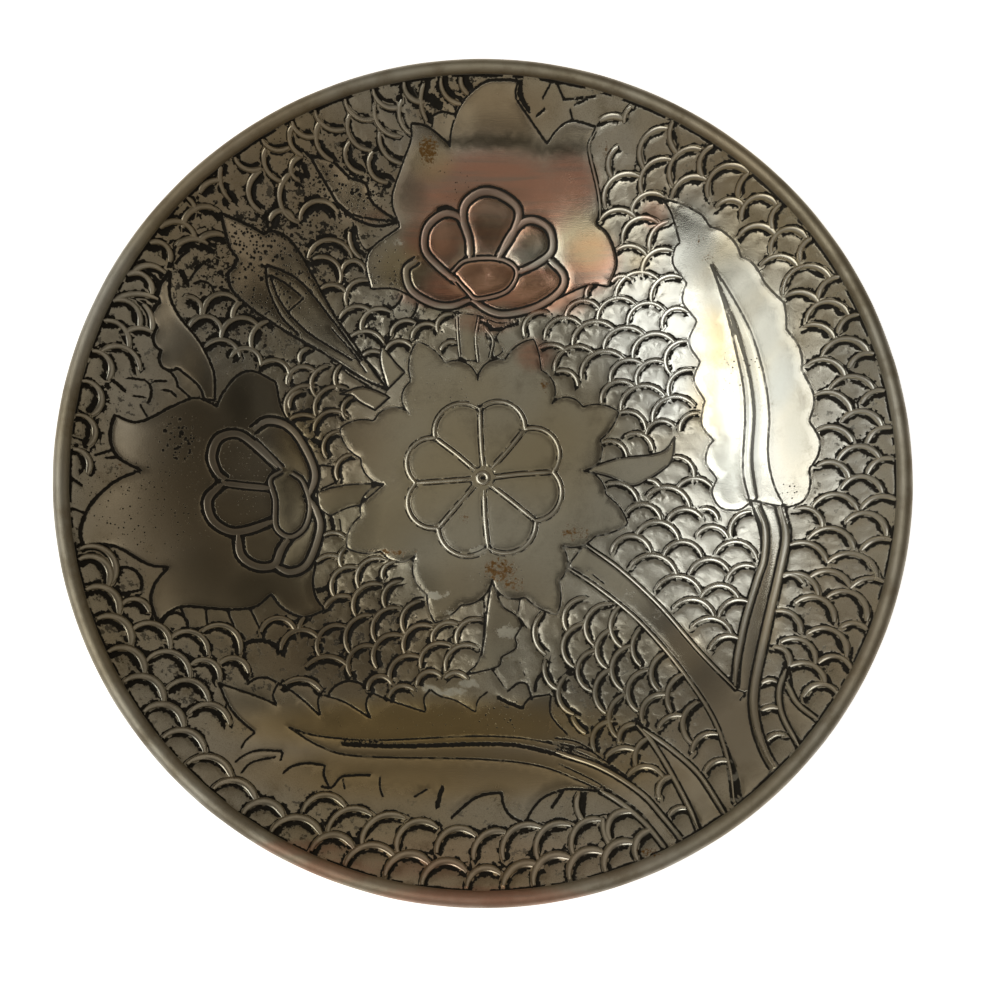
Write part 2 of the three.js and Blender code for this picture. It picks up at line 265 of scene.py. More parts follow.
# The arches of the overlapping scales, as far as each shows: the pixels of its two feet, and how
# high it rises to the left of the way from the first to the second, as a share of their distance.
# Each group has its own width of arch in millimetres.
SCALES = {
    "rim, left to bottom": (1.4, """
    79,560,108,586,.41 86,590,119,614,.36 97,619,131,645,.35 108,652,145,673,.34 124,682,164,702,.35
    144,712,184,727,.36 163,738,205,752,.34 187,764,232,778,.31 213,789,256,800,.33 243,814,284,817,.36
    271,832,322,836,.34 311,851,354,848,.36 345,866,396,858,.34 385,876,430,864,.36 422,885,467,872,.38
    467,887,501,874,.35 503,886,540,866,.28 534,886,572,859,.36 570,880,604,853,.36 606,872,634,843,.36
    638,860,650,830,.28
    """),
    "bottom left, inner rows": (1.25, """
    121,606,150,612,.35 131,632,170,650,.42 146,662,190,678,.4 167,690,209,703,.38 189,714,230,724,.36
    170,640,208,655,.4 191,665,219,682,.42 202,632,240,654,.4 220,664,249,673,.35 261,632,296,633,.42
    281,650,320,640,.38 80,549,112,583,.4 285,684,321,690,.22
    """),
    "bottom, second row": (1.3, """
    303,812,346,808,.36 328,833,372,815,.32 362,845,405,818,.3 398,852,438,828,.4 437,853,476,836,.38
    474,860,506,832,.3 504,860,542,828,.36 540,862,571,825,.38 575,856,603,820,.36 609,843,603,818,.1
    611,840,632,812,.38 583,820,578,795,.15
    """),
    "right rim": (1.2, """
    703,178,713,146,.25 708,197,748,173,.4 738,197,749,173,.15 742,220,776,205,.42 716,208,743,205,.25
    773,231,781,204,.2 738,238,776,236,.3 771,252,806,238,.42 800,262,812,238,.2 760,267,797,266,.28
    783,294,830,278,.4 818,299,841,277,.22 785,297,818,302,.22 806,322,848,315,.4 838,333,862,315,.22
    803,327,834,338,.22 822,356,868,353,.34 849,368,874,354,.22 806,366,845,378,.3 830,389,873,389,.3
    861,404,886,391,.2 814,396,851,413,.28 841,422,881,426,.32 867,443,892,428,.22 817,431,852,442,.25
    838,460,879,458,.32 867,474,893,459,.22 817,466,849,478,.28 841,489,882,493,.36 861,509,896,500,.22
    813,506,858,511,.32 846,522,886,536,.38 797,509,822,527,.28 808,539,854,549,.34 861,550,893,541,.2
    790,545,827,563,.25 827,563,877,577,.32 809,578,850,587,.28 850,588,884,582,.2 783,577,818,596,.3
    776,611,801,632,.25 774,647,789,666,.28 762,683,777,682,.2 762,710,778,708,.15 767,740,785,735,.2
    827,597,866,621,.38 795,603,834,622,.36 841,627,867,630,.22 808,633,846,657,.36 781,642,815,664,.34
    818,663,851,669,.3 790,666,825,683,.28 803,697,836,692,.32
    """),
    "east, under the leaf": (1.25, """
    731,536,751,511,.25 716,554,757,560,.38 697,536,728,538,.35 612,552,651,552,.42 664,556,702,557,.4
    630,568,677,576,.36 690,574,729,571,.35 727,580,755,567,.25 656,590,701,592,.34 701,598,739,599,.36
    674,608,714,616,.32 719,618,749,602,.28 692,627,732,635,.32 710,650,738,638,.25 647,497,690,507,.34
    627,513,661,520,.36 668,520,702,518,.3 637,535,679,540,.38 702,509,718,520,.25 783,575,803,583,.2
    """),
    "east of the medallion": (1.2, """
    598,322,637,306,.38 628,325,665,311,.38 663,328,688,312,.38 545,338,583,327,.38 573,348,615,330,.38
    604,350,645,336,.36 633,358,675,343,.38 671,374,688,341,.36 540,348,567,352,.2 555,371,594,353,.36
    582,379,624,359,.38 611,383,643,364,.36 638,387,666,363,.36 671,400,694,370,.33 556,372,578,386,.3
    602,403,634,386,.36 621,410,665,396,.38 653,422,694,405,.38 680,431,700,413,.25 618,414,646,430,.3
    646,436,675,427,.36 626,436,653,450,.3 602,443,627,458,.3 673,457,693,481,.3 678,488,712,487,.28
    637,492,661,489,.45 606,485,638,501,.25 566,320,601,311,.42 587,297,596,284,.25 525,336,547,312,.3
    441,350,460,345,.3
    """),
    "upper right": (1.2, """
    624,123,631,107,.15 644,168,667,129,.33 677,153,675,119,.2 673,186,701,150,.36 645,198,671,160,.36
    672,198,706,180,.28 606,208,640,177,.36 612,177,618,147,.22 632,216,664,197,.33 600,221,637,219,.28
    623,243,658,223,.36 650,251,668,222,.22 617,250,648,258,.25 643,276,675,252,.33 616,298,660,281,.36
    652,303,682,278,.33 612,282,632,280,.25 600,121,623,119,.15
    """),
    "left of the stem": (1.2, """
    594,645,612,604,.38 622,647,620,606,.25 567,630,586,598,.3 607,668,614,629,.35 641,666,640,629,.22
    574,667,584,624,.36 623,690,632,645,.34 658,690,664,653,.26 592,691,596,650,.4 606,713,613,668,.32
    638,711,648,670,.36 672,712,683,674,.25 574,714,566,676,.3 618,738,625,694,.28 643,722,668,695,.32
    692,743,698,702,.3 659,727,684,716,.2 595,751,613,721,.3 619,742,635,724,.25 606,757,637,751,.2
    636,766,648,738,.2 692,752,718,734,.25 705,772,729,761,.22 628,776,663,777,.3 586,733,572,716,.1
    659,798,672,776,.25 670,815,686,808,.2 546,654,543,613,.25 560,690,546,660,.22
    """),
    "south-west of the medallion": (1.2, """
    314,583,341,558,.38 335,597,358,568,.38 359,588,386,560,.36 383,579,398,562,.3 327,628,351,597,.38
    356,616,383,585,.36 386,608,401,581,.3 320,656,346,627,.38 352,655,372,615,.36 377,643,400,608,.36
    406,634,421,601,.3 299,632,322,612,.25 351,676,376,647,.38 377,668,403,636,.38 405,653,433,627,.36
    432,642,458,624,.3 457,643,482,620,.3 306,667,349,667,.25 391,684,421,658,.36 421,668,451,646,.34
    446,671,478,648,.34 368,690,392,684,.45 417,685,441,676,.35 445,678,467,678,.25 389,697,414,690,.3
    342,567,349,546,.25 322,537,345,537,.2
    """),
    "left rim": (1.15, """
    186,197,196,213,.15 183,228,219,212,.32 160,228,196,241,.33 150,243,170,262,.33 134,271,164,272,.2
    127,275,152,294,.33 116,299,158,299,.12 113,301,139,328,.33 143,304,152,330,.15 100,322,129,347,.3
    125,333,158,338,.22 101,352,140,370,.33 92,351,108,380,.33 82,381,92,415,.42 76,415,88,446,.4
    73,449,88,473,.3 199,242,224,236,.2 177,246,208,244,.2 186,297,201,315,.3 204,315,238,302,.4
    233,320,240,302,.15 190,326,222,334,.42 221,340,260,328,.4 253,351,281,323,.36 206,346,240,357,.33
    231,357,261,365,.42 260,366,288,384,.45
    """),
    "top left": (1.1, """
    231,201,222,165,.15 261,168,235,157,.25 289,147,262,139,.25 316,136,292,121,.25 345,129,315,110,.25
    376,118,345,97,.28 400,107,373,89,.25 425,102,404,82,.25 427,121,424,84,.12 264,213,261,171,.33
    284,182,266,149,.25 299,223,293,172,.32 303,156,293,126,.25 333,161,321,121,.25 372,150,351,113,.3
    400,136,375,105,.25 412,135,402,100,.2 364,173,350,142,.33 388,182,373,152,.33 402,163,380,132,.22
    300,181,301,157,.4 300,220,338,214,.42 308,258,352,258,.42 313,259,340,283,.35 319,291,348,296,.3
    347,305,370,281,.33 361,258,350,232,.15 200,193,222,181,.2 342,272,365,271,.48 270,221,294,220,.42
    461,104,441,78,.22 470,95,461,77,.18
    """),
    "north-west of the medallion": (1.1, """
    362,333,391,312,.36 340,318,373,313,.28 350,338,384,343,.28 362,357,381,353,.2 386,350,412,347,.3
    391,336,416,323,.3 412,338,438,328,.33 438,332,452,314,.3 300,362,309,348,.25 287,384,316,372,.36
    317,397,328,366,.33 338,389,342,364,.2 288,417,315,387,.36 316,416,346,388,.33 346,419,360,397,.38
    290,419,316,418,.15 314,431,348,416,.33 327,458,341,431,.33 338,480,358,455,.33 290,408,302,391,.25
    """),
}

# Worn, stained and dirty places, and places of painted highlight, reflection and shade, as "x,y" in
# pixels, how far each reaches across and up, and how strong it is. The dark in the lines is thinner
# where it is soft, and thicker in the grime.
STAINS_AND_PAINTED_LIGHT = {
    "copper": """
    492,200,88,52,.8 566,185,34,36,.62 480,285,60,24,.85 535,290,50,24,.75 432,240,34,30,.65
    592,262,30,34,.65 535,355,22,18,.45 430,296,36,12,.5 362,214,30,10,.45 300,848,60,9,.35 420,868,60,12,.3
    655,215,16,18,.4 570,305,24,14,.35 480,897,130,12,.45 330,870,60,14,.35 485,322,34,14,.4
    """,
    "rust": """
    428,150,11,17,.62 545,385,7,7,.6 500,570,20,14,.52 515,585,14,7,.52 575,533,20,9,.42 465,517,7,6,.4
    393,552,26,4,.6 708,257,6,6,.4 700,240,7,9,.3 650,852,18,6,.45 120,467,6,6,.5 550,727,5,9,.35
    605,150,12,12,.35
    """,
    # painted highlight where the worn copper catches the light
    "painted_copper_highlight": """
    482,278,36,24,.92 540,291,34,20,.85 441,238,12,26,.45 494,205,26,8,.4 440,280,18,10,.3
    450,862,180,30,.14
    """,
    # painted highlights: places made brighter to stand in for light that falls on them
    "painted_highlight": """
    162,300,16,34,.75 192,366,12,22,.6 350,196,26,26,.9 457,122,20,26,.55 682,650,26,26,.75 770,600,14,60,.6
    494,212,20,16,.25
    """,
    # a brown tone, partly brown tarnish and partly laid on to darken places as painted shade
    "brown": """
    485,112,75,34,.75 290,200,140,110,.52 330,430,60,70,.65 350,640,100,60,.65 430,765,230,34,.4
    490,600,70,44,.35 180,500,90,110,.4 500,200,110,50,.3 720,720,60,60,.3 705,165,80,50,.4 845,620,45,80,.3
    """,
    # straw tarnish, and on the leaf at the right a painted warm reflection
    "straw_and_painted_reflection": """
    585,240,26,30,.45 402,268,26,22,.45 710,344,15,36,1 640,265,12,10,.5 655,292,14,10,.4 704,394,22,44,.75
    430,725,190,26,.8 450,772,210,26,.45 430,160,24,22,.45 680,440,30,24,.3 300,440,26,30,.35
    795,440,18,60,.25
    """,
    # painted cool grey reflection on the leaf at the right
    "painted_cool_reflection": """
    690,240,26,42,.6 745,300,20,46,.5 778,340,16,60,.35 728,470,18,36,.55 752,440,12,60,.45 748,360,8,60,.35
    735,285,30,30,.6 765,330,20,36,.65 782,375,18,38,.6 797,425,16,40,.35
    """,
    # painted pale reflections that brighten the ground and the leaves
    "pale": """
    700,500,110,130,.45 655,350,60,90,.85 860,470,40,110,.4 665,392,30,50,.95 125,330,50,90,.35
    """,
    "chalk": """
    437,595,16,4,.7 478,550,10,7,.5 508,632,14,8,.6 450,612,14,5,.4 470,683,12,4,.9 450,692,22,5,.6
    428,688,12,5,.5 395,243,14,4,.5 630,595,8,5,.4 660,613,10,8,.3 610,225,20,15,.2
    """,
    "pits": """
    180,440,24,26,1 150,505,80,60,.5 290,250,85,55,.95 250,300,70,70,.8 345,190,45,45,.95 390,270,30,30,.6
    190,280,45,35,.5 500,715,40,18,.6 740,370,30,26,.4 790,490,16,12,.48 500,575,30,16,.4 455,180,26,24,.4
    300,140,60,50,.5 430,720,120,16,.35 440,390,60,30,.3 240,470,30,60,.4
    """,
    "soft": """
    738,360,80,150,1
    """,
    # painted shade: dark bands of reflected shadow, and places darkened to stand in for shade
    "shade": """
    240,400,14,30,.4 245,590,26,18,.35 490,142,56,6.5,.85 555,149,36,6.5,.75 412,196,16,18,.45
    500,215,24,22,.35 540,240,20,20,.3 485,195,34,8,.35 330,722,16,9,.25 725,475,14,46,.2 588,245,36,44,.5
    490,228,24,17,.5 536,242,20,19,.68 200,580,34,34,.3 690,228,26,30,.34 492,196,36,8,.25 280,590,40,24,.35
    470,600,60,28,.1 745,740,36,40,.28 705,690,34,40,.24 350,640,60,45,.28 330,420,40,50,.28
    610,690,80,66,.2 300,465,30,30,.3 285,492,18,34,.5 402,540,34,36,.16 505,640,24,40,.36 545,665,30,36,.22
    250,700,22,14,.42 522,440,50,60,.08 140,500,26,44,.12 706,335,18,55,.26 716,266,36,30,.5
    750,300,20,26,.34 766,342,12,26,.15 720,440,12,34,.34 712,392,12,24,.16 862,345,30,60,.2
    745,385,8,44,.28 754,445,9,46,.12 775,390,34,90,.1 352,520,28,54,.4 402,590,42,30,.48 258,590,30,22,.45
    860,520,30,120,.06 350,766,60,22,.16 590,778,40,16,.15 300,715,30,20,.12
    """,
    "grime": """
    250,270,120,110,1 345,200,80,70,1 120,330,60,100,.56 110,420,60,70,.7 120,620,80,90,.7
    220,680,100,60,.75 360,640,100,70,.8 395,320,60,45,.85 310,440,50,70,.8 450,90,70,40,.9
    830,420,80,170,.5 500,840,170,50,.5 300,830,90,50,.65 640,420,160,220,.2 700,200,120,90,.4
    610,700,110,90,.5 800,640,80,90,.45
    """,
}

TINY = 1e-9
ARCH_STEPS = 24       # points along a scale's arch
ARCH_FEWEST = 5       # a scale with fewer points left than this is hidden
ARCH_TO_SEAM = 0.1    # how far scales stay from the bead's seam, in millimetres
LINE_GAP = 0.4        # between the points of grooves, in millimetres
BAR_GAP = 0.8         # between the points of bars
BAR_TAPER = 0.16      # the share of a bar along which each end narrows
BAND_GROOVE = 0.7     # the share of its width by which a groove keeps off the band it runs beside
STAIN_STEEPNESS = 2.2

# Where the stem enters the leaf at the right: the pixel, and how far the outline stays open round it.
STEM_ENTRY = {"right_leaf": (768.0, 508.0, 13.0)}

# The dark seam inside the bead, with the size, number and start of its waves, and the dark ring that
# is punched in the middle of the medallion.
SEAM_INSET = 0.22
SEAM_HALF = 0.24
SEAM_WAVES = ((0.05, 31, 0.0), (0.04, 83, 1.0))
SEAM_STEPS = 1200
EYE_PIXEL = (483.0, 478.0)
EYE_RING = 0.25
EYE_HALF = 0.32
EYE_STEPS = 24

# The mesh of the chased skin: how far apart its points are at the ornament and between it, and the
# rows of points beside each groove and each scale, as (priority, distance) in millimetres.
SKIN_EDGE = SEAM_RADIUS + 0.25
AT_EDGE = 0.02
RING_TURNS = 360
WALL_STEPS = 26
BASE_RINGS = (0.8, 0.6, 0.4, 0.2)
GROOVE_STEP = 0.75
SCALE_STEP = 0.8
ROW_GAP = 0.30
ROWS_TO_EDGE = 0.45
FILL_GAP = 1.15 * 0.82
FILL_STEP = 0.8
FILL_SHIFT = 0.25
FILL_TO_EDGE = 0.6
FILL_SEED = 5
GROOVE_ROWS = ((1, 0.12), (3, 0.62))
SCALE_ROWS = ((1, -0.30), (1, 0.08), (2, -0.72), (2, 0.42), (3, -1.3), (4, -2.1))

# The relief of the skin in millimetres. The dents along a scale's band are (distance from the band,
# reach, depth), and its dome rises and falls between two distances from the band.
MOTIF_LEVEL = 0.02
MOTIF_SLOPE = 1.0
GROUND_LEVEL = -0.14
GROUND_SLOPE = 0.5
GROOVE_DEPTH = 0.10
DEPTH_BY_WIDTH = 0.22
WIDEST_HALF = 0.4
GROOVE_SLOPE = 0.28
GROOVE_FLOOR = 0.5    # the share of a groove's half width that is as deep as its middle
INNER_DENT = (0.30, 0.34, 0.20)
OUTER_DENT = (0.08, 0.22, 0.12)
DOME_HEIGHT = 0.12
DOME_RISE = (0.5, 2.0)
DOME_FALL = (2.6, 4.4)
GROUND_ROUGHNESS = 0.020
ROUGH_FROM_SCALE = (0.3, 1.0)
PLATE_ROUGHNESS = 0.0015
LEVEL_EDGE = (SKIN_EDGE + 0.1, SKIN_EDGE - 0.7)
RELIEF_SEED = 7
FAR = 5.0
# What the sheet past the skin's edge is painted with, as if it were far from every line.
PAST_SKIN = {"groove": FAR, "groove_half": 0.2, "scale_inner": FAR, "scale_outer": FAR, "ground": 0.0}

# Edges over these angles stay sharp.
SHARP_IN_SHEET = math.radians(50)
SHARP_IN_RING = math.radians(40)

# The bead's mesh, its butt joint by where it is in plan, and its slight unevenness.
BEAD_TURNS = 480
BEAD_STEPS = 29
JOINT_PLACE = (96.0, 24.0)
JOINT_DENT = 0.10
JOINT_HALF = 0.35
BEAD_WAVES = ((23, 1), (41, 2), (9, 0))
BEAD_OUTSIDE = 0.97
BEAD_SWAY = 0.035
BEAD_DENT = 0.02

# How uneven the widths of the scales' bands are, as shares.
SCALE_SEED = 11
UNEVEN_BLOWS = (0.96, 1.14)

# The punched ring at the middle of the medallion: radius, and height over the base's inside.
EYE_SECTION = (
    (0.55, -0.3), (0.62, 0.10), (0.9, 0.34), (1.35, 0.42), (1.8, 0.32), (2.05, 0.05), (2.1, -0.3),
)


def circle(turn):
    """Points of the unit circle at these angles."""
    return np.column_stack([np.cos(turn), np.sin(turn)])


def full_turn(count):
    return np.linspace(0, 2 * np.pi, count, endpoint=False)


def smoothstep(low, high, value):
    t = np.clip((value - low) / (high - low), 0, 1)
    return t * t * (3 - 2 * t)


def inner_height(radius):
    """Height of the bowl's inside at a distance from its axis."""
    run = np.clip(radius - BASE_RADIUS, 0, INSIDE_RADIUS * 0.95)
    return WALL_CENTRE_HEIGHT - np.sqrt(INSIDE_RADIUS ** 2 - run ** 2)


def lifted(plan, lift):
    """Places on the bowl's inside over points of its plan, raised along its normal."""
    radius = np.maximum(np.hypot(*plan.T), TINY)
    sine = np.clip(radius - BASE_RADIUS, 0, None) / INSIDE_RADIUS
    arm = INSIDE_RADIUS - lift
    outward = np.minimum(radius, BASE_RADIUS) + arm * sine
    height = WALL_CENTRE_HEIGHT - arm * np.sqrt(1 - sine ** 2)
    return np.column_stack([plan * (outward / radius)[:, None], height])


def plan_of(pixels, steps=40):
    """Where the camera's rays through pixels meet the bowl's inside, seen in plan."""
    offset = (np.asarray(pixels, float) - AXIS_PIXEL) / FOCAL_PIXELS
    rays = -towards_camera + offset[:, :1] * camera_right - offset[:, 1:] * camera_up
    height = np.full(len(rays), BASE_INSIDE)
    for _ in range(steps):
        reach = (height - camera_place[2]) / rays[:, 2]
        plan = camera_place[:2] + rays[:, :2] * reach[:, None]
        height = (height + inner_height(np.hypot(*plan.T))) / 2
    return plan


def arc_between(start, end, rise, steps=14):
    """Points of a round arc between two corners, without the last one."""
    chord = end - start
    length = np.hypot(*chord)
    along = chord / length
    left = np.array([along[1], -along[0]])
    half_angle = 2 * math.atan(2 * rise)
    radius = length / 2 / math.sin(half_angle)
    angles = np.linspace(-half_angle, half_angle, steps + 1)[:-1]
    across = radius * (np.cos(angles) - math.cos(half_angle))
    return (start + end) / 2 + np.outer(radius * np.sin(angles), along) + np.outer(across, left)


def smooth_between(points, steps=10):
    """Points of a smooth curve through these points, without the last one."""
    points = np.array(points)
    before = np.vstack([2 * points[0] - points[1], points[:-1]])
    after = np.vstack([points[1:], 2 * points[-1] - points[-2]])
    pull = (after - before) / 2
    t = np.linspace(0, 1, steps, endpoint=False)[:, None]
    return np.vstack([
        (2 * t ** 3 - 3 * t ** 2 + 1) * points[i] + (t ** 3 - 2 * t ** 2 + t) * pull[i]
        + (3 * t ** 2 - 2 * t ** 3) * points[i + 1] + (t ** 3 - t ** 2) * pull[i + 1]
        for i in range(len(points) - 1)
    ])


def straight_between(start, end, steps=6):
    return start + np.linspace(0, 1, steps, endpoint=False)[:, None] * (end - start)


def traced(words, closed=False):
    """The points of a written line, in pixels."""
    if closed:
        words = words + words[:1]
    marks = [[float(n) for n in word.lstrip("~").split(",")] for word in words]
    corner = [not word.startswith("~") for word in words]
    corner[-1] = True
    places = [np.array(mark[:2]) for mark in marks]
    corners = np.flatnonzero(corner)
    out = []
    for first, last in zip(corners, corners[1:]):
        if last - first > 1:
            out.append(smooth_between(places[first:last + 1]))
        elif len(marks[first]) > 2:
            out.append(arc_between(places[first], places[last], marks[first][2]))
        else:
            out.append(straight_between(places[first], places[last]))
    return np.vstack([*out, places[-1]])


def written(text):
    """The rows of a written table, each as its numbers and its line on the bowl's plan."""
    for row in text.split(";"):
        words = row.split()
        numbers = [float(word) for word in words if "," not in word]
        yield numbers, plan_of(traced(words[len(numbers):]))


def spaced(line, gap):
    """A line's points again, evenly spaced and about this gap apart."""
    lengths = np.hypot(*np.diff(line, axis=0).T)
    line = line[np.concatenate([[True], lengths > TINY])]
    reach = np.concatenate([[0], np.cumsum(np.hypot(*np.diff(line, axis=0).T))])
    at = np.linspace(0, reach[-1], max(int(round(reach[-1] / gap)), 2) + 1)
    return np.column_stack([np.interp(at, reach, part) for part in line.T])


def left_normals(line):
    """Unit vectors to the left of the way that a line runs, with y upwards."""
    way = np.gradient(line, axis=0)
    way /= np.maximum(np.hypot(*way.T), TINY)[:, None]
    return np.column_stack([-way[:, 1], way[:, 0]])


def beside(line, offset):
    """A line moved sideways, to its left."""
    return line + left_normals(line) * offset


def inside_polygon(points, polygon):
    """Which points lie inside a closed line."""
    inside = np.zeros(len(points), bool)
    near = np.all((points >= polygon.min(0)) & (points <= polygon.max(0)), axis=1)
    tested = points[near]
    odd = np.zeros(len(tested), bool)
    for a, b in zip(polygon, np.roll(polygon, -1, axis=0)):
        if a[1] == b[1]:
            continue
        crosses = (a[1] > tested[:, 1]) != (b[1] > tested[:, 1])
        at = a[0] + (tested[:, 1] - a[1]) * (b[0] - a[0]) / (b[1] - a[1])
        odd ^= crosses & (tested[:, 0] < at)
    inside[near] = odd
    return inside


def inside_any(points, outlines):
    """Which points lie inside at least one of the closed lines."""
    return np.any([inside_polygon(points, outline) for outline in outlines.values()], axis=0)


def longest_stretch(clear):
    """First index of the longest run of true values, and the index after its last."""
    edges = np.flatnonzero(np.diff(np.concatenate([[0], clear, [0]]))).reshape(-1, 2)
    return edges[np.argmax(edges[:, 1] - edges[:, 0])] if len(edges) else (0, 0)


motif_pixels = {name: traced(text.split(), closed=True) for name, (_, text) in MOTIFS.items()}
motif_plans = {name: plan_of(line) for name, line in motif_pixels.items()}
raised_plans = {name: plan for name, plan in motif_plans.items() if MOTIFS[name][0]}
rose_bands = list(written(ROSE_BANDS))
motif_bars = list(written(BARS))
eye_middle = plan_of([EYE_PIXEL])[0]


def scale_arches():
    """The arches of the scales on the bowl's plan, each after the width of its band."""
    found = []
    for width, text in SCALES.values():
        for word in text.split():
            x0, y0, x1, y1, rise = map(float, word.split(","))
            feet = np.array([[x0, y0], [x1, y1]])
            line = np.vstack([arc_between(*feet, rise, ARCH_STEPS), feet[1:]])
            plan = plan_of(line)
            below_bead = np.hypot(*plan.T) < SEAM_RADIUS - ARCH_TO_SEAM
            first, last = longest_stretch(below_bead & ~inside_any(line, motif_pixels))
            if last - first >= ARCH_FEWEST:
                found.append((width, plan[first:last]))
    return found


def opened(name, plan):
    """A motif's outline, without the stretch where a stem enters it."""
    if name not in STEM_ENTRY:
        return plan
    x, y, reach = STEM_ENTRY[name]
    clear = np.hypot(motif_pixels[name][:, 0] - x, motif_pixels[name][:, 1] - y) > reach
    first, last = longest_stretch(np.tile(clear, 2))
    return np.tile(plan, (2, 1))[first:last]


def all_grooves():
    """Every groove on the plan, each after half its width."""
    found = []
    for name, plan in raised_plans.items():
        found.append((MOTIFS[name][0] / 2, spaced(opened(name, plan), LINE_GAP)))
    for text in LINES.values():
        for (width,), plan in written(text):
            found.append((width / 2, spaced(plan, LINE_GAP)))
    for (width, groove), plan in rose_bands + motif_bars:
        line = spaced(plan, LINE_GAP)
        for side in (-1, 1):
            found.append((groove / 2, beside(line, side * (width + groove * BAND_GROOVE) / 2)))
    turn = np.linspace(0, 2 * np.pi, SEAM_STEPS)
    reach = SEAM_RADIUS - SEAM_INSET + sum(size * np.sin(turn * k + start) for size, k, start in SEAM_WAVES)
    found.append((SEAM_HALF, circle(turn) * reach[:, None]))
    found.append((EYE_HALF, eye_middle + EYE_RING * circle(np.linspace(0, 2 * np.pi, EYE_STEPS))))
    return found


def nearest(places, lines, gap=0.3, slack=0.16):
    """For each place, the distance across the nearest line, its side, and the number before the line.

    Each line comes after its number. The side is positive to the right of the line.
    """
    spread_lines = [spaced(line, gap) for _, line in lines]
    points = np.vstack(spread_lines)
    normals = np.vstack([left_normals(line) for line in spread_lines])
    numbers = np.repeat([number for number, _ in lines], [len(line) for line in spread_lines])
    tree = kdtree.KDTree(len(points))
    for i, (x, y) in enumerate(points):
        tree.insert((x, y, 0), i)
    tree.balance()
    index = [tree.find((x, y, 0))[1] for x, y in places]
    offset = places - points[index]
    normal = normals[index]
    side = -(offset * normal).sum(1)
    along = np.abs(offset[:, 0] * normal[:, 1] - offset[:, 1] * normal[:, 0])
    return np.hypot(side, np.maximum(along - slack, 0)), np.sign(side), numbers[index]


def thinned(points, more, gap):
    """Points, and after them each further one that stays at least this gap from all before it."""
    out = []
    cells = {}
    around = [(i, j) for i in (-1, 0, 1) for j in (-1, 0, 1)]
    for x, y in [*points, *more]:
        column, row = int(x // gap), int(y // gap)
        near = (point for i, j in around for point in cells.get((column + i, row + j), ()))
        given = len(out) < len(points)
        if given or all((px - x) ** 2 + (py - y) ** 2 >= gap * gap for px, py in near):
            cells.setdefault((column, row), []).append((x, y))
            out.append((x, y))
    return out


def skin_points(grooves, scales):
    """Points of the chased skin in plan: rows along every groove and scale, then even filling."""
    rows = []
    for half, line in grooves:
        middle = spaced(line, GROOVE_STEP)
        rows.append((0, middle))
        for side in (-1, 1):
            for priority, offset in GROOVE_ROWS:
                rows.append((priority, beside(middle, side * (half + offset))))
    for band, arc in scales:
        line = spaced(arc, SCALE_STEP)
        for priority, offset in SCALE_ROWS:
            rows.append((priority, beside(line, math.copysign(band / 2, offset) + offset)))
        rows.append((3, line))
    rows.sort(key=lambda row: row[0])
    listed = np.vstack([row[1] for row in rows])
    listed = listed[np.hypot(*listed.T) < SKIN_EDGE - ROWS_TO_EDGE]
    points = thinned(circle(full_turn(RING_TURNS)) * SKIN_EDGE, listed, ROW_GAP)
    draw = np.random.default_rng(FILL_SEED)
    steps = np.arange(-SKIN_EDGE, SKIN_EDGE, FILL_STEP)
    fill = np.stack(np.meshgrid(steps, steps), axis=-1).reshape(-1, 2)
    fill = fill + draw.uniform(-FILL_SHIFT, FILL_SHIFT, fill.shape)
    fill = fill[np.hypot(*fill.T) < SKIN_EDGE - FILL_TO_EDGE]
    draw.shuffle(fill)
    return thinned(points, fill, FILL_GAP)


def skin_relief(places, grooves, scales):
    """Lift of the skin over the plain bowl, and the measures that its finish is painted from."""
    draw = np.random.default_rng(RELIEF_SEED)
    distance, _, half = nearest(places, grooves)
    edge, _, _ = nearest(places, [(0.0, plan) for plan in raised_plans.values()])
    reach, side, band = nearest(places, scales)
    raised = inside_any(places, raised_plans)
    smooth = inside_any(places, motif_plans)
    past = np.minimum(reach - band / 2, FAR)
    inner = np.where((side > 0) & ~smooth, past, FAR)
    outer = np.where((side <= 0) & ~smooth, past, FAR)
    ground = np.where(smooth, 0.0, 1.0)
    on_motif = MOTIF_LEVEL * smoothstep(0.0, MOTIF_SLOPE, edge)
    on_ground = GROUND_LEVEL * smoothstep(0.0, GROUND_SLOPE, edge) * ground
    lift = np.where(raised, on_motif, on_ground)
    depth = GROOVE_DEPTH + DEPTH_BY_WIDTH * np.minimum(half, WIDEST_HALF)
    lift -= depth * (1 - smoothstep(half * GROOVE_FLOOR, half + GROOVE_SLOPE, distance))
    for away, (middle, width, deep) in ((inner, INNER_DENT), (outer, OUTER_DENT)):
        lift -= deep * np.exp(-((away - middle) / width) ** 2) * ground
    dome = smoothstep(*DOME_RISE, inner) * (1 - smoothstep(*DOME_FALL, inner))
    lift += DOME_HEIGHT * dome * ground
    uneven = GROUND_ROUGHNESS * ground * smoothstep(*ROUGH_FROM_SCALE, past) + PLATE_ROUGHNESS
    lift += draw.normal(0, 1, len(places)) * uneven
    lift *= smoothstep(*LEVEL_EDGE, np.hypot(*places.T))
    return lift, {
        "groove": np.minimum(distance, FAR),
        "groove_half": half,
        "scale_inner": inner,
        "scale_outer": outer,
        "ground": ground,
    }


def mark_values(pixels, spots):
    """How strongly each pixel's place takes one kind of mark, a stain or painted light and shade."""
    out = np.zeros(len(pixels))
    for spot in spots.split():
        x, y, reach_x, reach_y, strength = map(float, spot.split(","))
        far = ((pixels[:, 0] - x) / reach_x) ** 2 + ((pixels[:, 1] - y) / reach_y) ** 2
        out = np.maximum(out, strength * np.exp(-far ** STAIN_STEEPNESS))
    return out


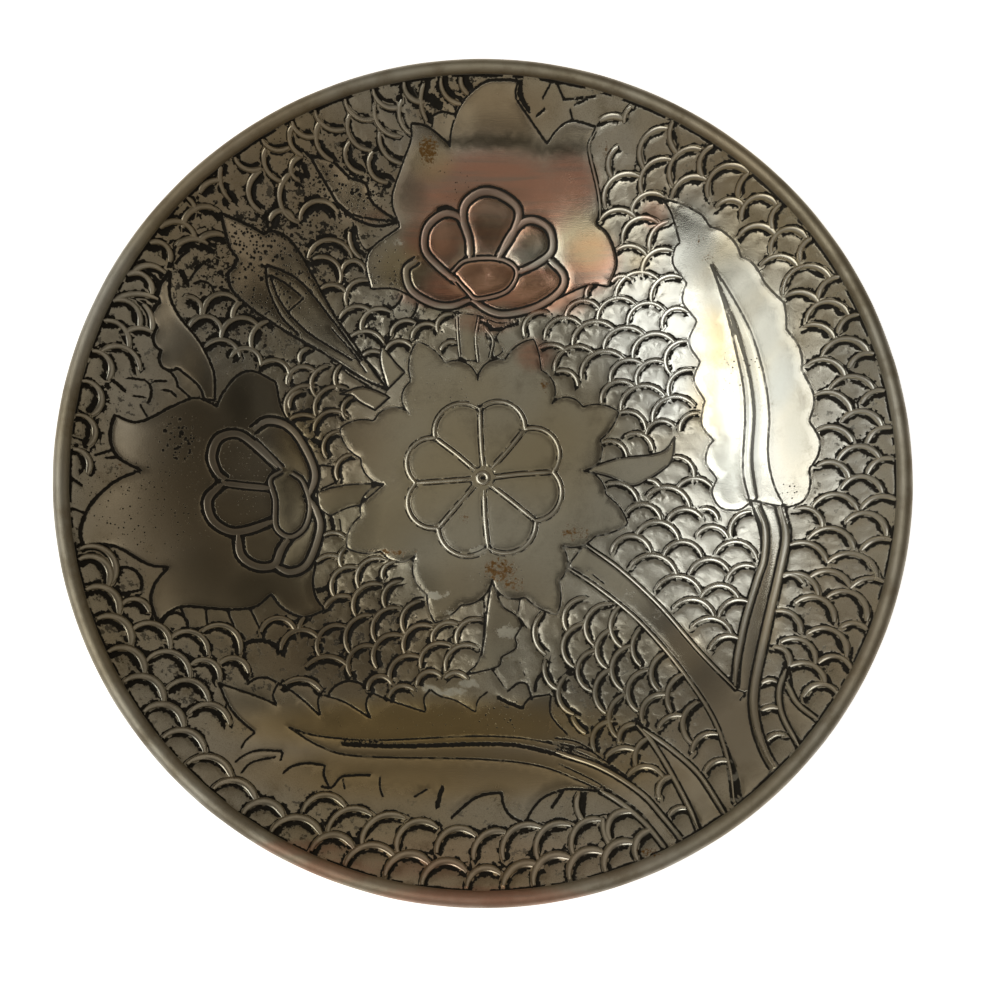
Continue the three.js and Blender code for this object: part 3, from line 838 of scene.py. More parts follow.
def pixels_of(places):
    """The pixels where the camera sees places in space, in millimetres."""
    offset = places - camera_place
    depth = offset @ -towards_camera
    return np.column_stack([
        AXIS_PIXEL[0] + FOCAL_PIXELS * (offset @ camera_right) / depth,
        AXIS_PIXEL[1] - FOCAL_PIXELS * (offset @ camera_up) / depth,
    ])


def places_in(mesh):
    """The places of a mesh's points in millimetres."""
    flat = np.zeros(len(mesh.vertices) * 3)
    mesh.vertices.foreach_get("co", flat)
    return flat.reshape(-1, 3) / MM


def paint(mesh, values):
    """Float attributes on a mesh's points."""
    for name, numbers in values.items():
        painted = mesh.attributes.new(name, "FLOAT", "POINT")
        painted.data.foreach_set("value", np.asarray(numbers, np.float32))


def paint_stains_and_light(mesh):
    """Stains and painted light and shade on a finished mesh, by where the picture shows its points."""
    pixels = pixels_of(places_in(mesh))
    paint(mesh, {name: mark_values(pixels, spots) for name, spots in STAINS_AND_PAINTED_LIGHT.items()})


def wall_point(angle, offset):
    """A point of the wall's section: radius and height, offset from its middle towards the inside."""
    arm = MIDDLE_RADIUS - offset
    return BASE_RADIUS + arm * math.sin(angle), WALL_CENTRE_HEIGHT - arm * math.cos(angle)


def new_object(name, data):
    obj = bpy.data.objects.new(name, data)
    bpy.context.scene.collection.objects.link(obj)
    return obj


def finished_piece(name, mesh, materials, replaced=()):
    """A piece of the bowl that rides on its body."""
    obj = new_object(name, mesh)
    obj.data.materials.clear()
    for material in materials:
        obj.data.materials.append(material)
    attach(obj, "root")
    if replaced:
        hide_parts(*replaced)
    return obj


def dress(mesh, sharp=math.inf):
    """Turns a mesh's faces outward and shades them smooth, but for edges over an angle."""
    work = bmesh.new()
    work.from_mesh(mesh)
    bmesh.ops.recalc_face_normals(work, faces=work.faces)
    for face in work.faces:
        face.smooth = True
    for edge in work.edges:
        if len(edge.link_faces) == 2 and edge.calc_face_angle() > sharp:
            edge.smooth = False
    work.to_mesh(mesh)
    work.free()


def new_mesh(name, points, faces, sharp):
    mesh = bpy.data.meshes.new(name)
    mesh.from_pydata((points * MM).tolist(), [], faces)
    dress(mesh, sharp)
    return mesh


def turned(profile, turns):
    """A profile in (radius, height) turned about the axis: one ring for each of its points."""
    around = circle(full_turn(turns))
    return np.vstack([np.column_stack([around * r, np.full(turns, z)]) for r, z in profile])


def strip(first, second):
    """The faces between two rings of points."""
    return np.column_stack([first, second, np.roll(second, -1), np.roll(first, -1)]).tolist()


def body_mesh(grooves, scales):
    """The bowl's sheet: the chased skin inside, the lip, and the smooth outside."""
    flat = [Vector(point) for point in skin_points(grooves, scales)]
    corners, _, triangles, *_ = delaunay_2d_cdt(flat, [], [], 0, 1e-6)
    plan = np.array([tuple(corner) for corner in corners])
    faces = [list(face) for face in triangles]
    lift, values = skin_relief(plan, grooves, scales)
    edge = np.flatnonzero(np.hypot(*plan.T) > SKIN_EDGE - AT_EDGE)
    turn = np.arctan2(plan[edge, 1], plan[edge, 0])
    last = np.zeros(RING_TURNS, int)
    last[np.round(turn * RING_TURNS / (2 * np.pi)).astype(int) % RING_TURNS] = edge
    start = math.asin((SKIN_EDGE - BASE_RADIUS) / INSIDE_RADIUS)
    profile = [wall_point(start + (LIP_ANGLE - start) * t, WALL / 2) for t in (0.5, 1.0)]
    profile += [wall_point(LIP_ANGLE * t, -WALL / 2) for t in np.linspace(1, 0, WALL_STEPS)]
    profile += [(BASE_RADIUS * t, BASE_UNDERSIDE) for t in BASE_RINGS]
    outside = np.vstack([turned(profile, RING_TURNS), (0, 0, BASE_UNDERSIDE)])
    skin_faces = len(faces) + RING_TURNS
    for ring in len(plan) + np.arange(len(outside) - 1).reshape(-1, RING_TURNS):
        faces += strip(last, ring)
        last = ring
    pole = len(plan) + len(outside) - 1
    faces += [(int(a), pole, int(b)) for a, b in zip(last, np.roll(last, -1))]
    mesh = new_mesh("bowl_sheet", np.vstack([lifted(plan, lift), outside]), faces, SHARP_IN_SHEET)
    for name, far in PAST_SKIN.items():
        paint(mesh, {name: np.concatenate([values[name], np.full(len(outside), far)])})
    paint_stains_and_light(mesh)
    return mesh, skin_faces


def turned_mesh(name, section, turns=240):
    """A closed ring turned about the axis from a closed section in (radius, height)."""
    rings = np.arange(len(section) * turns).reshape(-1, turns)
    faces = []
    for first, second in zip(rings, np.roll(rings, -1, axis=0)):
        faces += strip(first, second)
    return new_mesh(name, turned(section, turns), faces, SHARP_IN_RING)


def bead_mesh():
    """The round wire over the lip, with its slot, a slight waviness and a butt joint."""
    centre = np.array(wall_point(BEAD_ANGLE, 0))
    mouths = [np.array(wall_point(MOUTH_ANGLE, side * SLOT_HALF)) for side in (-1, 1)]
    slot_end = LIP_ANGLE + SOLDER_FILM / MIDDLE_RADIUS
    start, end = [math.atan2(*(mouth - centre)[::-1]) for mouth in mouths]
    if end < start:
        end += 2 * math.pi
    section = [*(centre + BEAD_RADIUS * circle(np.linspace(start, end, BEAD_STEPS)))]
    section += [wall_point(slot_end, SLOT_HALF), wall_point(slot_end, -SLOT_HALF)]
    mesh = turned_mesh("bead", section, BEAD_TURNS)
    places = places_in(mesh)
    turn = np.arctan2(places[:, 1], places[:, 0])
    gap = np.abs(turn - math.atan2(JOINT_PLACE[1], JOINT_PLACE[0])) * BEAD_CENTRE
    from_centre = np.column_stack([np.hypot(places[:, 0], places[:, 1]), places[:, 2]]) - centre
    dent = JOINT_DENT * np.exp(-(gap / JOINT_HALF) ** 2)
    sway = BEAD_SWAY * sum(np.sin(turn * k + begin) for k, begin in BEAD_WAVES) / 3 + BEAD_DENT
    on_outside = np.hypot(*from_centre.T) > BEAD_RADIUS * BEAD_OUTSIDE
    shrink = 1 - np.where(on_outside, (dent + np.maximum(sway, 0)) / BEAD_RADIUS, 0)
    moved_to = from_centre * shrink[:, None] + centre
    places = np.column_stack([circle(turn) * moved_to[:, :1], moved_to[:, 1]]) * MM
    mesh.vertices.foreach_set("co", places.ravel())
    paint(mesh, {"seam": np.hypot(*(moved_to - mouths[1]).T), "joint": np.minimum(gap, FAR)})
    paint_stains_and_light(mesh)
    return mesh


def foot_sections():
    """Sections of the foot ring and of its solder, with rounded corners."""
    top, toe, rise = FOOT_TOP_RADIUS, FOOT_TOE_RADIUS, FOOT_TOE_HEIGHT
    top_inner, toe_inner = top - FOOT_STRIP, toe - FOOT_STRIP
    bulge = FOOT_STRIP / 4
    fillet_end = FOOT_HEIGHT - FILLET_LEG
    middle = (rise + fillet_end) / 2
    ring = [
        (toe_inner + bulge, 0), (toe - bulge, 0), (toe + bulge * 0.6, 0.2),
        (toe + bulge, rise / 3), (toe + bulge, rise * 2 / 3), (toe + bulge * 0.4, rise * 0.9),
        (toe - bulge, rise), (top + bulge * 2.6, rise * 1.2), (top + bulge, middle),
        (top + bulge * 0.2, (middle + fillet_end) / 2), (top, fillet_end),
        (top, FOOT_HEIGHT), (top_inner, FOOT_HEIGHT), (top_inner, fillet_end),
        (top_inner + bulge, middle), (toe_inner - bulge, rise), (toe_inner, rise / 2),
    ]
    hollow = FILLET_LEG / 3
    fillet = [
        (0, fillet_end), (hollow * 0.4, FOOT_HEIGHT - FILLET_LEG * 0.62), (hollow, FOOT_HEIGHT - hollow),
        (FILLET_LEG * 0.66, FOOT_HEIGHT + FOOT_BED * 0.3), (FILLET_LEG, BASE_UNDERSIDE),
    ]
    solder = [(top_inner, FOOT_HEIGHT), (top, FOOT_HEIGHT)]
    solder += [(top + reach, height) for reach, height in fillet]
    solder += [(top_inner - reach, height) for reach, height in reversed(fillet)]
    return ring, solder


def feed(target, value):
    """Sets an input to a number, colour or name, or links it to a value."""
    if isinstance(value, Value):
        value.tree.links.new(value.socket, target)
    else:
        target.default_value = value


def add_node(tree, kind, inputs=(), output=0, **settings):
    """One output of a new node, with its settings, and its inputs by name or number."""
    node = tree.nodes.new(kind)
    for name, value in settings.items():
        setattr(node, name, value)
    for name, value in dict(inputs).items():
        feed(node.inputs[name], value)
    return Value(node.outputs[output])


def tree_of(values):
    return next(value.tree for value in values if isinstance(value, Value))


def maths(operation, *values):
    """The result of a sum, in shaders and shape trees alike."""
    return add_node(tree_of(values), "ShaderNodeMath", enumerate(values), operation=operation)


class Value:
    """What a node gives out. A sum with it adds a node to its tree."""

    def __init__(self, socket):
        self.socket = socket
        self.tree = socket.id_data

    def __getitem__(self, name):
        """Another output of the same node."""
        return Value(self.socket.node.outputs[name])

    def __add__(self, other):
        return maths("ADD", self, other)

    def __sub__(self, other):
        return maths("SUBTRACT", self, other)

    def __rsub__(self, other):
        return maths("SUBTRACT", other, self)

    def __mul__(self, other):
        return maths("MULTIPLY", self, other)

    def __truediv__(self, other):
        return maths("DIVIDE", self, other)

    def __abs__(self):
        return maths("ABSOLUTE", self)

    def clamped(self):
        """The same sum, held between 0 and 1."""
        self.socket.node.use_clamp = True
        return self


def higher(first, second):
    return maths("MAXIMUM", first, second)


def lower(first, second):
    return maths("MINIMUM", first, second)


def parts_of(vector):
    """The x, y and z of a vector."""
    parts = add_node(vector.tree, "ShaderNodeSeparateXYZ", {0: vector})
    return parts[0], parts[1], parts[2]


def between(value, low, high, to_low=0.0, to_high=1.0, smooth=True):
    """A value brought from one range to another, and held inside it."""
    kind = "SMOOTHSTEP" if smooth else "LINEAR"
    ranges = {0: value, 1: low, 2: high, 3: to_low, 4: to_high}
    return add_node(value.tree, "ShaderNodeMapRange", ranges, interpolation_type=kind, clamp=True)


def fading(value, low, high):
    """1 up to one value, then down to 0 at another."""
    return between(value, low, high, 1.0, 0.0)


def spread(value, low, high, to_low=0.0, to_high=1.0):
    return between(value, low, high, to_low, to_high, smooth=False)


def mixed(share, first, second):
    """A colour between two colours."""
    colours = {0: share, 6: first, 7: second}
    return add_node(tree_of((share, first)), "ShaderNodeMix", colours, output=2, data_type="RGBA")


def placed(geometry, x, y, z):
    """A geometry with its points at these places."""
    place = add_node(geometry.tree, "ShaderNodeCombineXYZ", {0: x, 1: y, 2: z})
    return add_node(geometry.tree, "GeometryNodeSetPosition", {"Geometry": geometry, "Position": place})


# What the bar tree is given unless a kind of bar says otherwise, in metres, facets and a power.
BAR_SIZES = {
    "Width": MM, "Height": 0.27 * MM, "Sink": 0.2 * MM, "Base Radius": BASE_RADIUS * MM,
    "Wall Radius": INSIDE_RADIUS * MM, "Wall Centre Height": WALL_CENTRE_HEIGHT * MM,
    "Round Steps": 6, "Roundness": 1.0,
}


def chased_bar_tree():
    """Sweeps a half-round bar along flat curves and lays it on the bowl's inside."""
    tree = bpy.data.node_groups.new("chased_bar", "GeometryNodeTree")
    interface = tree.interface
    for way in ("OUTPUT", "INPUT"):
        interface.new_socket("Geometry", in_out=way, socket_type="NodeSocketGeometry")
    for name, value in BAR_SIZES.items():
        kind = "NodeSocketInt" if isinstance(value, int) else "NodeSocketFloat"
        interface.new_socket(name, in_out="INPUT", socket_type=kind).default_value = value
    interface.new_socket("Material", in_out="INPUT", socket_type="NodeSocketMaterial")
    given = add_node(tree, "NodeGroupInput")
    arc = add_node(tree, "GeometryNodeCurveArc", {
        "Resolution": given["Round Steps"], "Radius": 1.0, "Start Angle": 0.0, "Sweep Angle": math.pi,
    }, mode="RADIUS")
    marked = add_node(tree, "GeometryNodeStoreNamedAttribute", {
        "Geometry": arc, "Name": "across", "Value": add_node(tree, "GeometryNodeSplineParameter"),
    }, data_type="FLOAT", domain="POINT")
    section = add_node(tree, "GeometryNodeSetSplineCyclic", {"Geometry": marked, "Cyclic": True})
    x, y, _ = parts_of(add_node(tree, "GeometryNodeInputPosition"))
    risen = maths("POWER", abs(y), given["Roundness"])
    high = given["Sink"] - risen * (given["Height"] + given["Sink"])
    section = placed(section, x * (given["Width"] * 0.5), high, 0.0)
    upright = add_node(tree, "GeometryNodeSetCurveNormal", {"Curve": given["Geometry"]}, mode="Z_UP")
    swept = add_node(tree, "GeometryNodeCurveToMesh", {
        "Curve": upright, "Profile Curve": section, "Scale": add_node(tree, "GeometryNodeInputRadius"),
        "Fill Caps": True,
    })
    x, y, z = parts_of(add_node(tree, "GeometryNodeInputPosition"))
    flat = higher(maths("SQRT", x * x + y * y), 1e-7)
    sine = higher(flat - given["Base Radius"], 0.0) / given["Wall Radius"]
    cosine = maths("SQRT", 1.0 - sine * sine)
    arm = given["Wall Radius"] - z
    stretch = (lower(flat, given["Base Radius"]) + arm * sine) / flat
    laid = placed(swept, x * stretch, y * stretch, given["Wall Centre Height"] - arm * cosine)
    smooth = add_node(tree, "GeometryNodeSetShadeSmooth", {"Geometry": laid})
    real = add_node(tree, "GeometryNodeRealizeInstances", {"Geometry": smooth})
    painted = add_node(tree, "GeometryNodeSetMaterial", {"Geometry": real, "Material": given["Material"]})
    feed(tree.nodes.new("NodeGroupOutput").inputs[0], painted)
    return tree


def socket_id(tree, name):
    for item in tree.interface.items_tree:
        if item.name == name and item.in_out == "INPUT":
            return item.identifier
    raise KeyError(name)


def bar_piece(tree, name, bars, finish, height, sink, steps, roundness, ends):
    """A piece that the bar tree sweeps along plan lines, each of which comes after its width.

    Each bar narrows to a share of its width at its ends.
    """
    curve = bpy.data.curves.new(name + "_lines", "CURVE")
    curve.dimensions = "3D"
    for width, line in bars:
        line = spaced(line, BAR_GAP)
        spline = curve.splines.new("POLY")
        spline.points.add(len(line) - 1)
        flat = np.column_stack([line * MM, np.zeros(len(line)), np.ones(len(line))])
        spline.points.foreach_set("co", flat.ravel())
        share = np.linspace(0, 1, len(line))
        from_end = smoothstep(0, BAR_TAPER, np.minimum(share, 1 - share))
        spline.points.foreach_set("radius", (ends + (1 - ends) * from_end) * width)
    obj = new_object(name + "_lines", curve)
    modifier = obj.modifiers.new("chased_bar", "NODES")
    modifier.node_group = tree
    settings = {"Material": finish, "Height": height * MM, "Sink": sink * MM}
    settings.update({"Round Steps": steps, "Roundness": roundness})
    for key, value in settings.items():
        modifier[socket_id(tree, key)] = value
    bpy.context.view_layer.update()
    mesh = bpy.data.meshes.new_from_object(obj.evaluated_get(bpy.context.evaluated_depsgraph_get()))
    mesh.name = name
    bpy.data.objects.remove(obj)
    dress(mesh)
    paint_stains_and_light(mesh)
    finished_piece(name, mesh, [finish])


# Colours, as the shader takes them.
SILVER_WARM = (0.61, 0.548, 0.415, 1)
SILVER_COOL = (0.66, 0.645, 0.58, 1)
TARNISH = (0.31, 0.262, 0.18, 1)
PATINA = (0.012, 0.0095, 0.006, 1)
COPPER = (0.60, 0.30, 0.215, 1)
RUST = (0.20, 0.10, 0.02, 1)
CHALK = (0.55, 0.53, 0.45, 1)
# painted highlight laid along the crests of the bars
CREST_HIGHLIGHT = (0.88, 0.86, 0.79, 1)
BAND_GREY = (0.33, 0.29, 0.26, 1)
BEAD_BROWN = (0.29, 0.245, 0.175, 1)
SOLDER_DARK = (0.10, 0.095, 0.08, 1)
SOLDER_PALE = (0.33, 0.31, 0.27, 1)

# The tints laid over the plate, in the order in which they lie over each other. Brown is tarnish that
# also darkens places as painted shade, straw is tarnish and a painted warm reflection, and the others
# are painted highlights, reflections and shade.
TINTS_AND_PAINTED_LIGHT = {
    "painted_copper_highlight": (0.97, 0.60, 0.43, 1),
    "brown": (0.47, 0.375, 0.255, 1),
    "painted_highlight": (0.97, 0.87, 0.68, 1),
    "straw_and_painted_reflection": (0.66, 0.50, 0.23, 1),
    "pale": (0.80, 0.82, 0.81, 1),
    "painted_cool_reflection": (0.46, 0.49, 0.49, 1),
    "shade": (0.10, 0.09, 0.06, 1),
}

# The two kinds of pits: scale, share of the cell that a pit takes up, how ragged its edge is, and
# how pitted the plate has to be before it shows.
PITS = ((1300.0, 0.62, 0.1, 0.05), (620.0, 0.50, 0.9, 0.50))


class Finish:
    """A material while it is put together."""

    def __init__(self, name):
        self.material = bpy.data.materials.new(name)
        self.material.use_nodes = True
        self.tree = self.material.node_tree
        self.tree.nodes.clear()
        self.shader = self.tree.nodes.new("ShaderNodeBsdfPrincipled")
        out = self.tree.nodes.new("ShaderNodeOutputMaterial")
        self.tree.links.new(self.shader.outputs[0], out.inputs[0])
        self.place = add_node(self.tree, "ShaderNodeTexCoord", output="Object")

    def mark(self, name):
        """What the mesh is painted with under this name."""
        return add_node(
            self.tree, "ShaderNodeAttribute", output="Fac", attribute_name=name, attribute_type="GEOMETRY",
        )

    def noise(self, scale, detail, roughness=0.55, stretch=None, turn=0.0):
        """Noise at a scale, or stretched by a scale for each axis and turned about the upright one."""
        place = self.place
        if stretch:
            drawn = {0: place, "Rotation": (0, 0, turn), "Scale": stretch}
            place = add_node(self.tree, "ShaderNodeMapping", drawn)
        return add_node(self.tree, "ShaderNodeTexNoise", {
            "Vector": place, "Scale": scale, "Detail": detail, "Roughness": roughness, "Distortion": 0.0,
        })

    def shade(self, **values):
        """Feeds the shader's inputs, named with underscores for spaces."""
        for name, value in values.items():
            feed(self.shader.inputs[name.replace("_", " ")], value)

    def bump(self, strength, distance, height):
        bump = {"Strength": strength, "Distance": distance, "Height": height}
        self.shade(Normal=add_node(self.tree, "ShaderNodeBump", bump))


class Plate(Finish):
    """Uneven tarnished silver plate."""

    def __init__(self, name):
        super().__init__(name)
        broad = self.noise(22.0, 2.0)
        self.cloud = self.noise(120.0, 4.0, 0.6)
        self.ragged = self.noise(1300.0, 3.0, 0.65)
        self.fine = self.noise(4200.0, 2.0, 0.6)
        self.dull = between(self.cloud * 0.7 + self.fine * 0.3, 0.48, 0.72)
        self.colour = mixed(between(broad, 0.35, 0.65), SILVER_WARM, SILVER_COOL)
        self.tint(self.dull * 0.45, TARNISH)

    def tint(self, share, colour):
        """Lays a share of a colour over what is there."""
        self.colour = mixed(share, self.colour, colour)

    def stain_and_paint_light(self, metal, rough):
        """Copper showing through, tints with painted light and shade, rust and chalk, over plate of this
        metal and roughness.
        """
        copper = between(self.mark("copper") + self.ragged * 0.22, 0.15, 0.85)
        streaks = between(self.noise(1.0, 4.0, 0.6, (30, 500, 200)), 0.42, 0.66)
        self.tint(copper, COPPER)
        self.tint(copper * streaks * 0.55, BAND_GREY)
        for name, colour in TINTS_AND_PAINTED_LIGHT.items():
            self.tint(self.mark(name), colour)
        rust = between(self.mark("rust") + self.ragged * 1.6, 1.12, 1.42)
        self.tint(rust, RUST)
        chalk = between(self.mark("chalk") + self.ragged * 0.9, 0.66, 1.05)
        self.tint(chalk, CHALK)
        worn = higher(rust, chalk)
        self.metal = (metal - worn * 0.75).clamped()
        self.rough = (rough + worn * 0.35).clamped()

    def darken(self, share, roughened):
        """Lays dark patina over a share of the plate, and makes it rougher by an amount."""
        self.tint(share, PATINA)
        self.rough = (self.rough + roughened).clamped()

    def done(self):
        self.shade(Base_Color=self.colour, Metallic=self.metal, Roughness=self.rough)
        return self.material


def patina_of_grooves(plate, grime, cover):
    """How dark the chased lines and the edges of the scales are."""
    uneven = spread(plate.ragged, 0.32, 0.68)
    half = plate.mark("groove_half")
    reach = half * spread(uneven, 0, 1, 0.75, 1.55)
    line = fading(plate.mark("groove") - reach, -0.03, 0.10)
    shown = between(cover, 0.38, 0.50) + spread(half, 0.13, 0.20)
    line = line * lower(shown, 1.0) * (1.0 - plate.mark("soft") * 0.36)
    ragged_edge = (uneven - 0.5) * (grime * 0.45 + 0.25)
    patches = between(cover, 0.36, 0.62) * 0.36
    deep = ragged_edge + patches + grime + 0.27
    inner = fading(plate.mark("scale_inner") - deep, -0.12, 0.14)
    islands = grime * between(cover, 0.46, 0.56)
    thin = uneven * 0.10 + 0.06 + islands * (uneven * 0.7 + 0.45)
    outer = fading(abs(plate.mark("scale_outer") - 0.08) - thin, -0.04, 0.08)
    return higher(line, higher(inner, outer))


def pit_marks(plate):
    """Dark pits: fine round ones, and larger ragged ones where the plate is badly pitted."""
    pits = plate.mark("pits")
    marks = []
    for scale, share, edge, start in PITS:
        cells = {"Vector": plate.place, "Scale": scale}
        spots = add_node(plate.tree, "ShaderNodeTexVoronoi", cells, feature="F1")
        size = pits * spread(spots["Color"], 0.30, 0.85)
        reach = size * share + (plate.ragged - 0.5) * edge
        pit = fading(spots["Distance"] - reach, -0.06, 0.06)
        marks.append(pit * between(size, 0.08, 0.18) * between(pits, start, start + 0.1))
    return higher(*marks)


def chased_material():
    """The chased inside: smooth motifs, rough ground, dark ragged lines, pits, stains and painted light and
    shade.
    """
    plate = Plate("chased_silver")
    ground = plate.mark("ground")
    grime = plate.mark("grime")
    cover = plate.noise(420.0, 2.0)
    dark = patina_of_grooves(plate, grime, cover)
    dirt = plate.cloud * 0.5 + plate.ragged * 0.35 + cover * 0.15 + grime * 0.08
    plate.tint(ground * between(dirt, 0.57, 0.74) * 0.75, TARNISH)
    plate.tint(between(plate.fine, 0.50, 0.60) * (ground * 0.20 + 0.14), TARNISH)
    cakes = cover * 0.55 + plate.ragged * 0.45 + grime * 0.12
    dark = higher(dark, ground * between(cakes, 0.635, 0.67) * grime)
    plate.stain_and_paint_light(1.0 - dark * 0.8, plate.dull * 0.13 + 0.15 + ground * 0.13)
    pit = pit_marks(plate)
    dark = higher(dark, pit).clamped()
    plate.darken(dark, dark * 0.4)
    plate.metal = plate.metal * (1.0 - pit * 0.8)
    scored = plate.noise(1.0, 2.0, stretch=(300, 6000, 3000), turn=0.6)
    grain = plate.fine * (ground * 0.8 + 0.25) + plate.ragged * ground
    plate.bump(0.38, 0.00012, scored * 0.25 + grain - dark * 1.2)
    return plate.done()


def bar_material(name, flank_start, flank_dark, roughness, shine, grain, grey=0.0):
    """Raised bars: worn crests with a painted highlight laid along them, fainter in the grime, and dirty
    flanks, by the mark across each bar.
    """
    plate = Plate(name)
    from_crest = abs(plate.mark("across") - 0.5) * 2.0
    shaky = (plate.ragged - 0.5) * 0.16
    flank = between(from_crest + shaky, flank_start, flank_start + 0.16)
    crest = between(from_crest, 0.5, 0.1)
    grime = plate.mark("grime")
    plate.tint(grime * spread(plate.cloud, 0.40, 0.60) * 0.40, TARNISH)
    plate.tint(crest * (1.0 - grime * 0.85) * shine, CREST_HIGHLIGHT)
    plate.stain_and_paint_light(1.0 - flank * 0.7, plate.dull * 0.15 + grime * 0.16 + roughness)
    plate.tint(grey, BAND_GREY)
    plate.darken(flank * flank_dark, flank * 0.35)
    plate.bump(grain, 0.0001, plate.fine + plate.ragged)
    return plate.done()


def plain_material(name, roughness, brown, seamed=False):
    """The outside, the bead and the foot: mottled plate, with a share of brown, stains and painted light
    and shade.
    """
    plate = Plate(name)
    plate.tint(between(plate.cloud, 0.35, 0.65, brown * 0.7, brown * 1.3), BEAD_BROWN)
    rough = plate.dull * 0.15 + roughness
    if seamed:
        seam = fading(plate.mark("seam") + (plate.ragged - 0.5) * 0.35, 0.18, 0.42)
        joint = fading(plate.mark("joint"), 0.10, 0.30)
        dark = higher(seam, joint * 0.8)
        plate.stain_and_paint_light(1.0 - dark * 0.8, rough)
        plate.darken(dark, dark * 0.4)
    else:
        plate.stain_and_paint_light(1.0, rough)
    plate.bump(0.3, 0.00012, plate.cloud * 2.0 + (plate.fine + plate.ragged))
    return plate.done()


def solder_material():
    finish = Finish("dull_solder")
    lumps = finish.noise(700.0, 4.0, 0.6)
    colour = mixed(lumps, SOLDER_DARK, SOLDER_PALE)
    finish.shade(Base_Color=colour, Metallic=0.9, Roughness=between(lumps, 0.3, 0.7, 0.45, 0.7))
    finish.bump(0.5, 0.0002, lumps)
    return finish.material


scales = scale_arches()
chased = chased_material()
scale_finish = bar_material(
    "scale_silver", flank_start=0.93, flank_dark=0.75, roughness=0.24, shine=0.6, grain=0.10,
)
bar_finish = bar_material(
    "bar_silver", flank_start=0.90, flank_dark=0.7, roughness=0.26, shine=0.4, grain=0.14,
)
band_finish = bar_material(
    "band_silver", flank_start=0.90, flank_dark=0.7, roughness=0.34, shine=0.0, grain=0.14, grey=0.55,
)
plain = plain_material("plain_silver", roughness=0.42, brown=0.0)
bead_finish = plain_material("bead_silver", roughness=0.55, brown=0.6, seamed=True)
solder = solder_material()

sheet, skin_faces = body_mesh(all_grooves(), scales)
finished_piece("chased_bowl", sheet, [chased, plain], ["bowl_body"])
outside = np.arange(len(sheet.polygons)) >= skin_faces
sheet.polygons.foreach_set("material_index", outside.astype(np.int32))

bar_tree = chased_bar_tree()
draw_blow = random.Random(SCALE_SEED).uniform
punched = [(width * draw_blow(*UNEVEN_BLOWS), line) for width, line in scales]
bar_piece(
    bar_tree, "scale_beads", punched, scale_finish,
    height=0.19, sink=0.26, steps=9, roundness=0.6, ends=0.55,
)
bands = [(width, line) for (width, _), line in rose_bands]
bar_piece(
    bar_tree, "rose_bands", bands, band_finish,
    height=0.05, sink=0.12, steps=10, roundness=0.4, ends=0.5,
)
bars = [(width, line) for (width, _), line in motif_bars]
bar_piece(
    bar_tree, "motif_bars", bars, bar_finish,
    height=0.20, sink=0.2, steps=9, roundness=0.75, ends=0.40,
)

eye = turned_mesh("flower_eye", [(radius, BASE_INSIDE + lift) for radius, lift in EYE_SECTION], turns=48)
eye.transform(Matrix.Translation((eye_middle[0] * MM, eye_middle[1] * MM, 0)))
paint_stains_and_light(eye)
# The whole ring counts as a bar's crest, so the bars' painted highlight lies all over it.
paint(eye, {"across": np.full(len(eye.vertices), 0.5)})
finished_piece("flower_eye", eye, [bar_finish])

finished_piece("rim_wire", bead_mesh(), [bead_finish], ["rim_bead"])
ring_section, solder_section = foot_sections()
foot = turned_mesh("foot_strip", ring_section)
finished_piece("foot_strip", foot, [plain], ["foot_ring"])
fillets = turned_mesh("foot_fillets", solder_section)
finished_piece("foot_fillets", fillets, [solder], ["foot_solder"])
rim_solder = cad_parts["rim_solder"]
rim_solder.data.materials.clear()
rim_solder.data.materials.append(solder)

# The light: a dim warm room, a little brighter low down and towards the back, and softboxes by
# azimuth and elevation in degrees, distance and size in metres, brightness and colour.
ROOM_COLOUR = (1.0, 0.86, 0.66, 1)
ROOM_LOW = 0.18
ROOM_HIGH = 0.045
ROOM_BACK = 0.11
LIGHT_AIM = Vector((0, 0, 0.03))
SOFTBOXES = [
    ("softbox_left", 188, 49, 0.80, (0.70, 0.42), 1.55, (1.0, 0.99, 0.92)),
    ("softbox_left_high", 202, 67, 0.80, (0.56, 0.26), 1.74, (1.0, 0.98, 0.88)),
    ("softbox_top", 88, 81, 0.95, (0.40, 0.44), 0.190, (1.0, 0.92, 0.72)),
    ("softbox_front_low", 265, 20, 0.85, (0.70, 0.32), 0.19, (1.0, 0.90, 0.72)),
    ("softbox_front_high", 260, 50, 0.85, (0.60, 0.36), 0.27, (1.0, 0.92, 0.82)),
    ("softbox_front_right", 306, 64, 0.85, (0.34, 0.34), 0.15, (1.0, 0.92, 0.74)),
    ("softbox_right_front", 322, 36, 0.85, (0.40, 0.32), 0.20, (1.0, 0.85, 0.66)),
    ("softbox_right_low", 2, 22, 0.85, (0.40, 0.20), 0.18, (1.0, 0.90, 0.74)),
]
FLOOR_REACH = 3.0


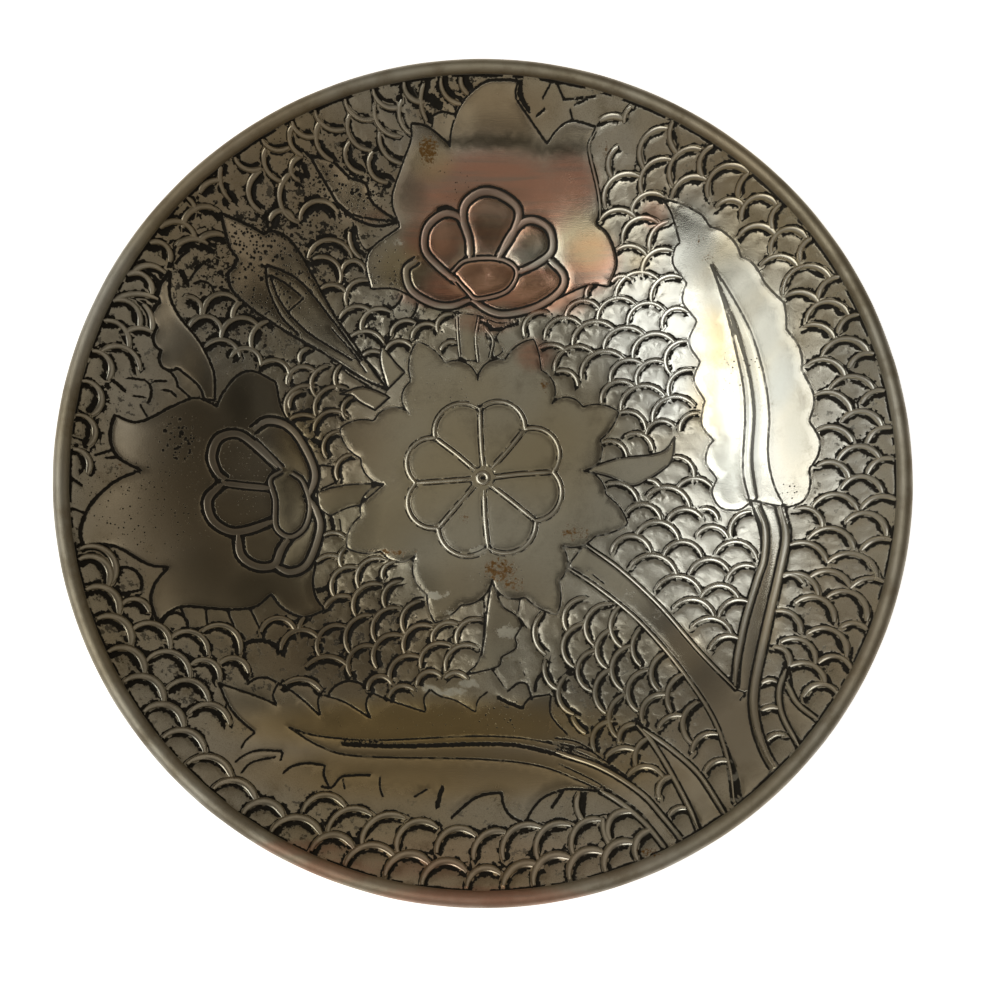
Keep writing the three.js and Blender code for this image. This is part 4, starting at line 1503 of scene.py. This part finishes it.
def paper_floor():
    """A plain pale floor that glows a little."""
    corners = [(x * FLOOR_REACH, y * FLOOR_REACH, 0) for x, y in ((-1, -1), (1, -1), (1, 1), (-1, 1))]
    mesh = bpy.data.meshes.new("floor")
    mesh.from_pydata(corners, [], [(0, 1, 2, 3)])
    paper = Finish("pale_paper")
    paper.shade(
        Base_Color=(0.93, 0.93, 0.92, 1), Roughness=0.9, Specular_IOR_Level=0.1,
        Emission_Color=(1, 1, 1, 1), Emission_Strength=0.85,
    )
    mesh.materials.append(paper.material)
    new_object("floor", mesh)


def room():
    world = bpy.data.worlds.new("studio")
    bpy.context.scene.world = world
    world.use_nodes = True
    background = world.node_tree.nodes["Background"]
    background.inputs["Color"].default_value = ROOM_COLOUR
    _, y, z = parts_of(add_node(world.node_tree, "ShaderNodeTexCoord", output="Generated"))
    low = between(z, 0.30, 0.68, ROOM_LOW, ROOM_HIGH)
    feed(background.inputs["Strength"], low + higher(y, 0.0) * ROOM_BACK)


def softboxes():
    for name, azimuth, elevation, distance, size, glow, colour in SOFTBOXES:
        turn, lift = math.radians(azimuth), math.radians(elevation)
        away = Vector((math.cos(turn) * math.cos(lift), math.sin(turn) * math.cos(lift), math.sin(lift)))
        lamp = bpy.data.lights.new(name, "AREA")
        lamp.shape = "RECTANGLE"
        lamp.size, lamp.size_y = size
        lamp.energy = glow * math.pi * size[0] * size[1]
        lamp.color = colour
        obj = new_object(name, lamp)
        obj.location = LIGHT_AIM + away * distance
        obj.rotation_euler = away.to_track_quat("Z", "Y").to_euler()


def camera():
    """The camera that the picture was taken with, as fitted above."""
    view = bpy.data.cameras.new("camera")
    view.sensor_width = SENSOR_WIDTH
    view.sensor_fit = "HORIZONTAL"
    view.lens = FOCAL_PIXELS / PICTURE_SIZE * SENSOR_WIDTH
    view.shift_x = (PICTURE_SIZE / 2 - AXIS_PIXEL[0]) / PICTURE_SIZE
    view.shift_y = -(PICTURE_SIZE / 2 - AXIS_PIXEL[1]) / PICTURE_SIZE
    view.clip_start = 0.01
    obj = new_object("camera", view)
    turn = Matrix([camera_right, camera_up, towards_camera]).transposed()
    obj.matrix_world = Matrix.Translation(Vector(camera_place * MM)) @ turn.to_4x4()
    bpy.context.scene.camera = obj
    bpy.context.scene.view_settings.view_transform = "Standard"


paper_floor()
room()
softboxes()
camera()
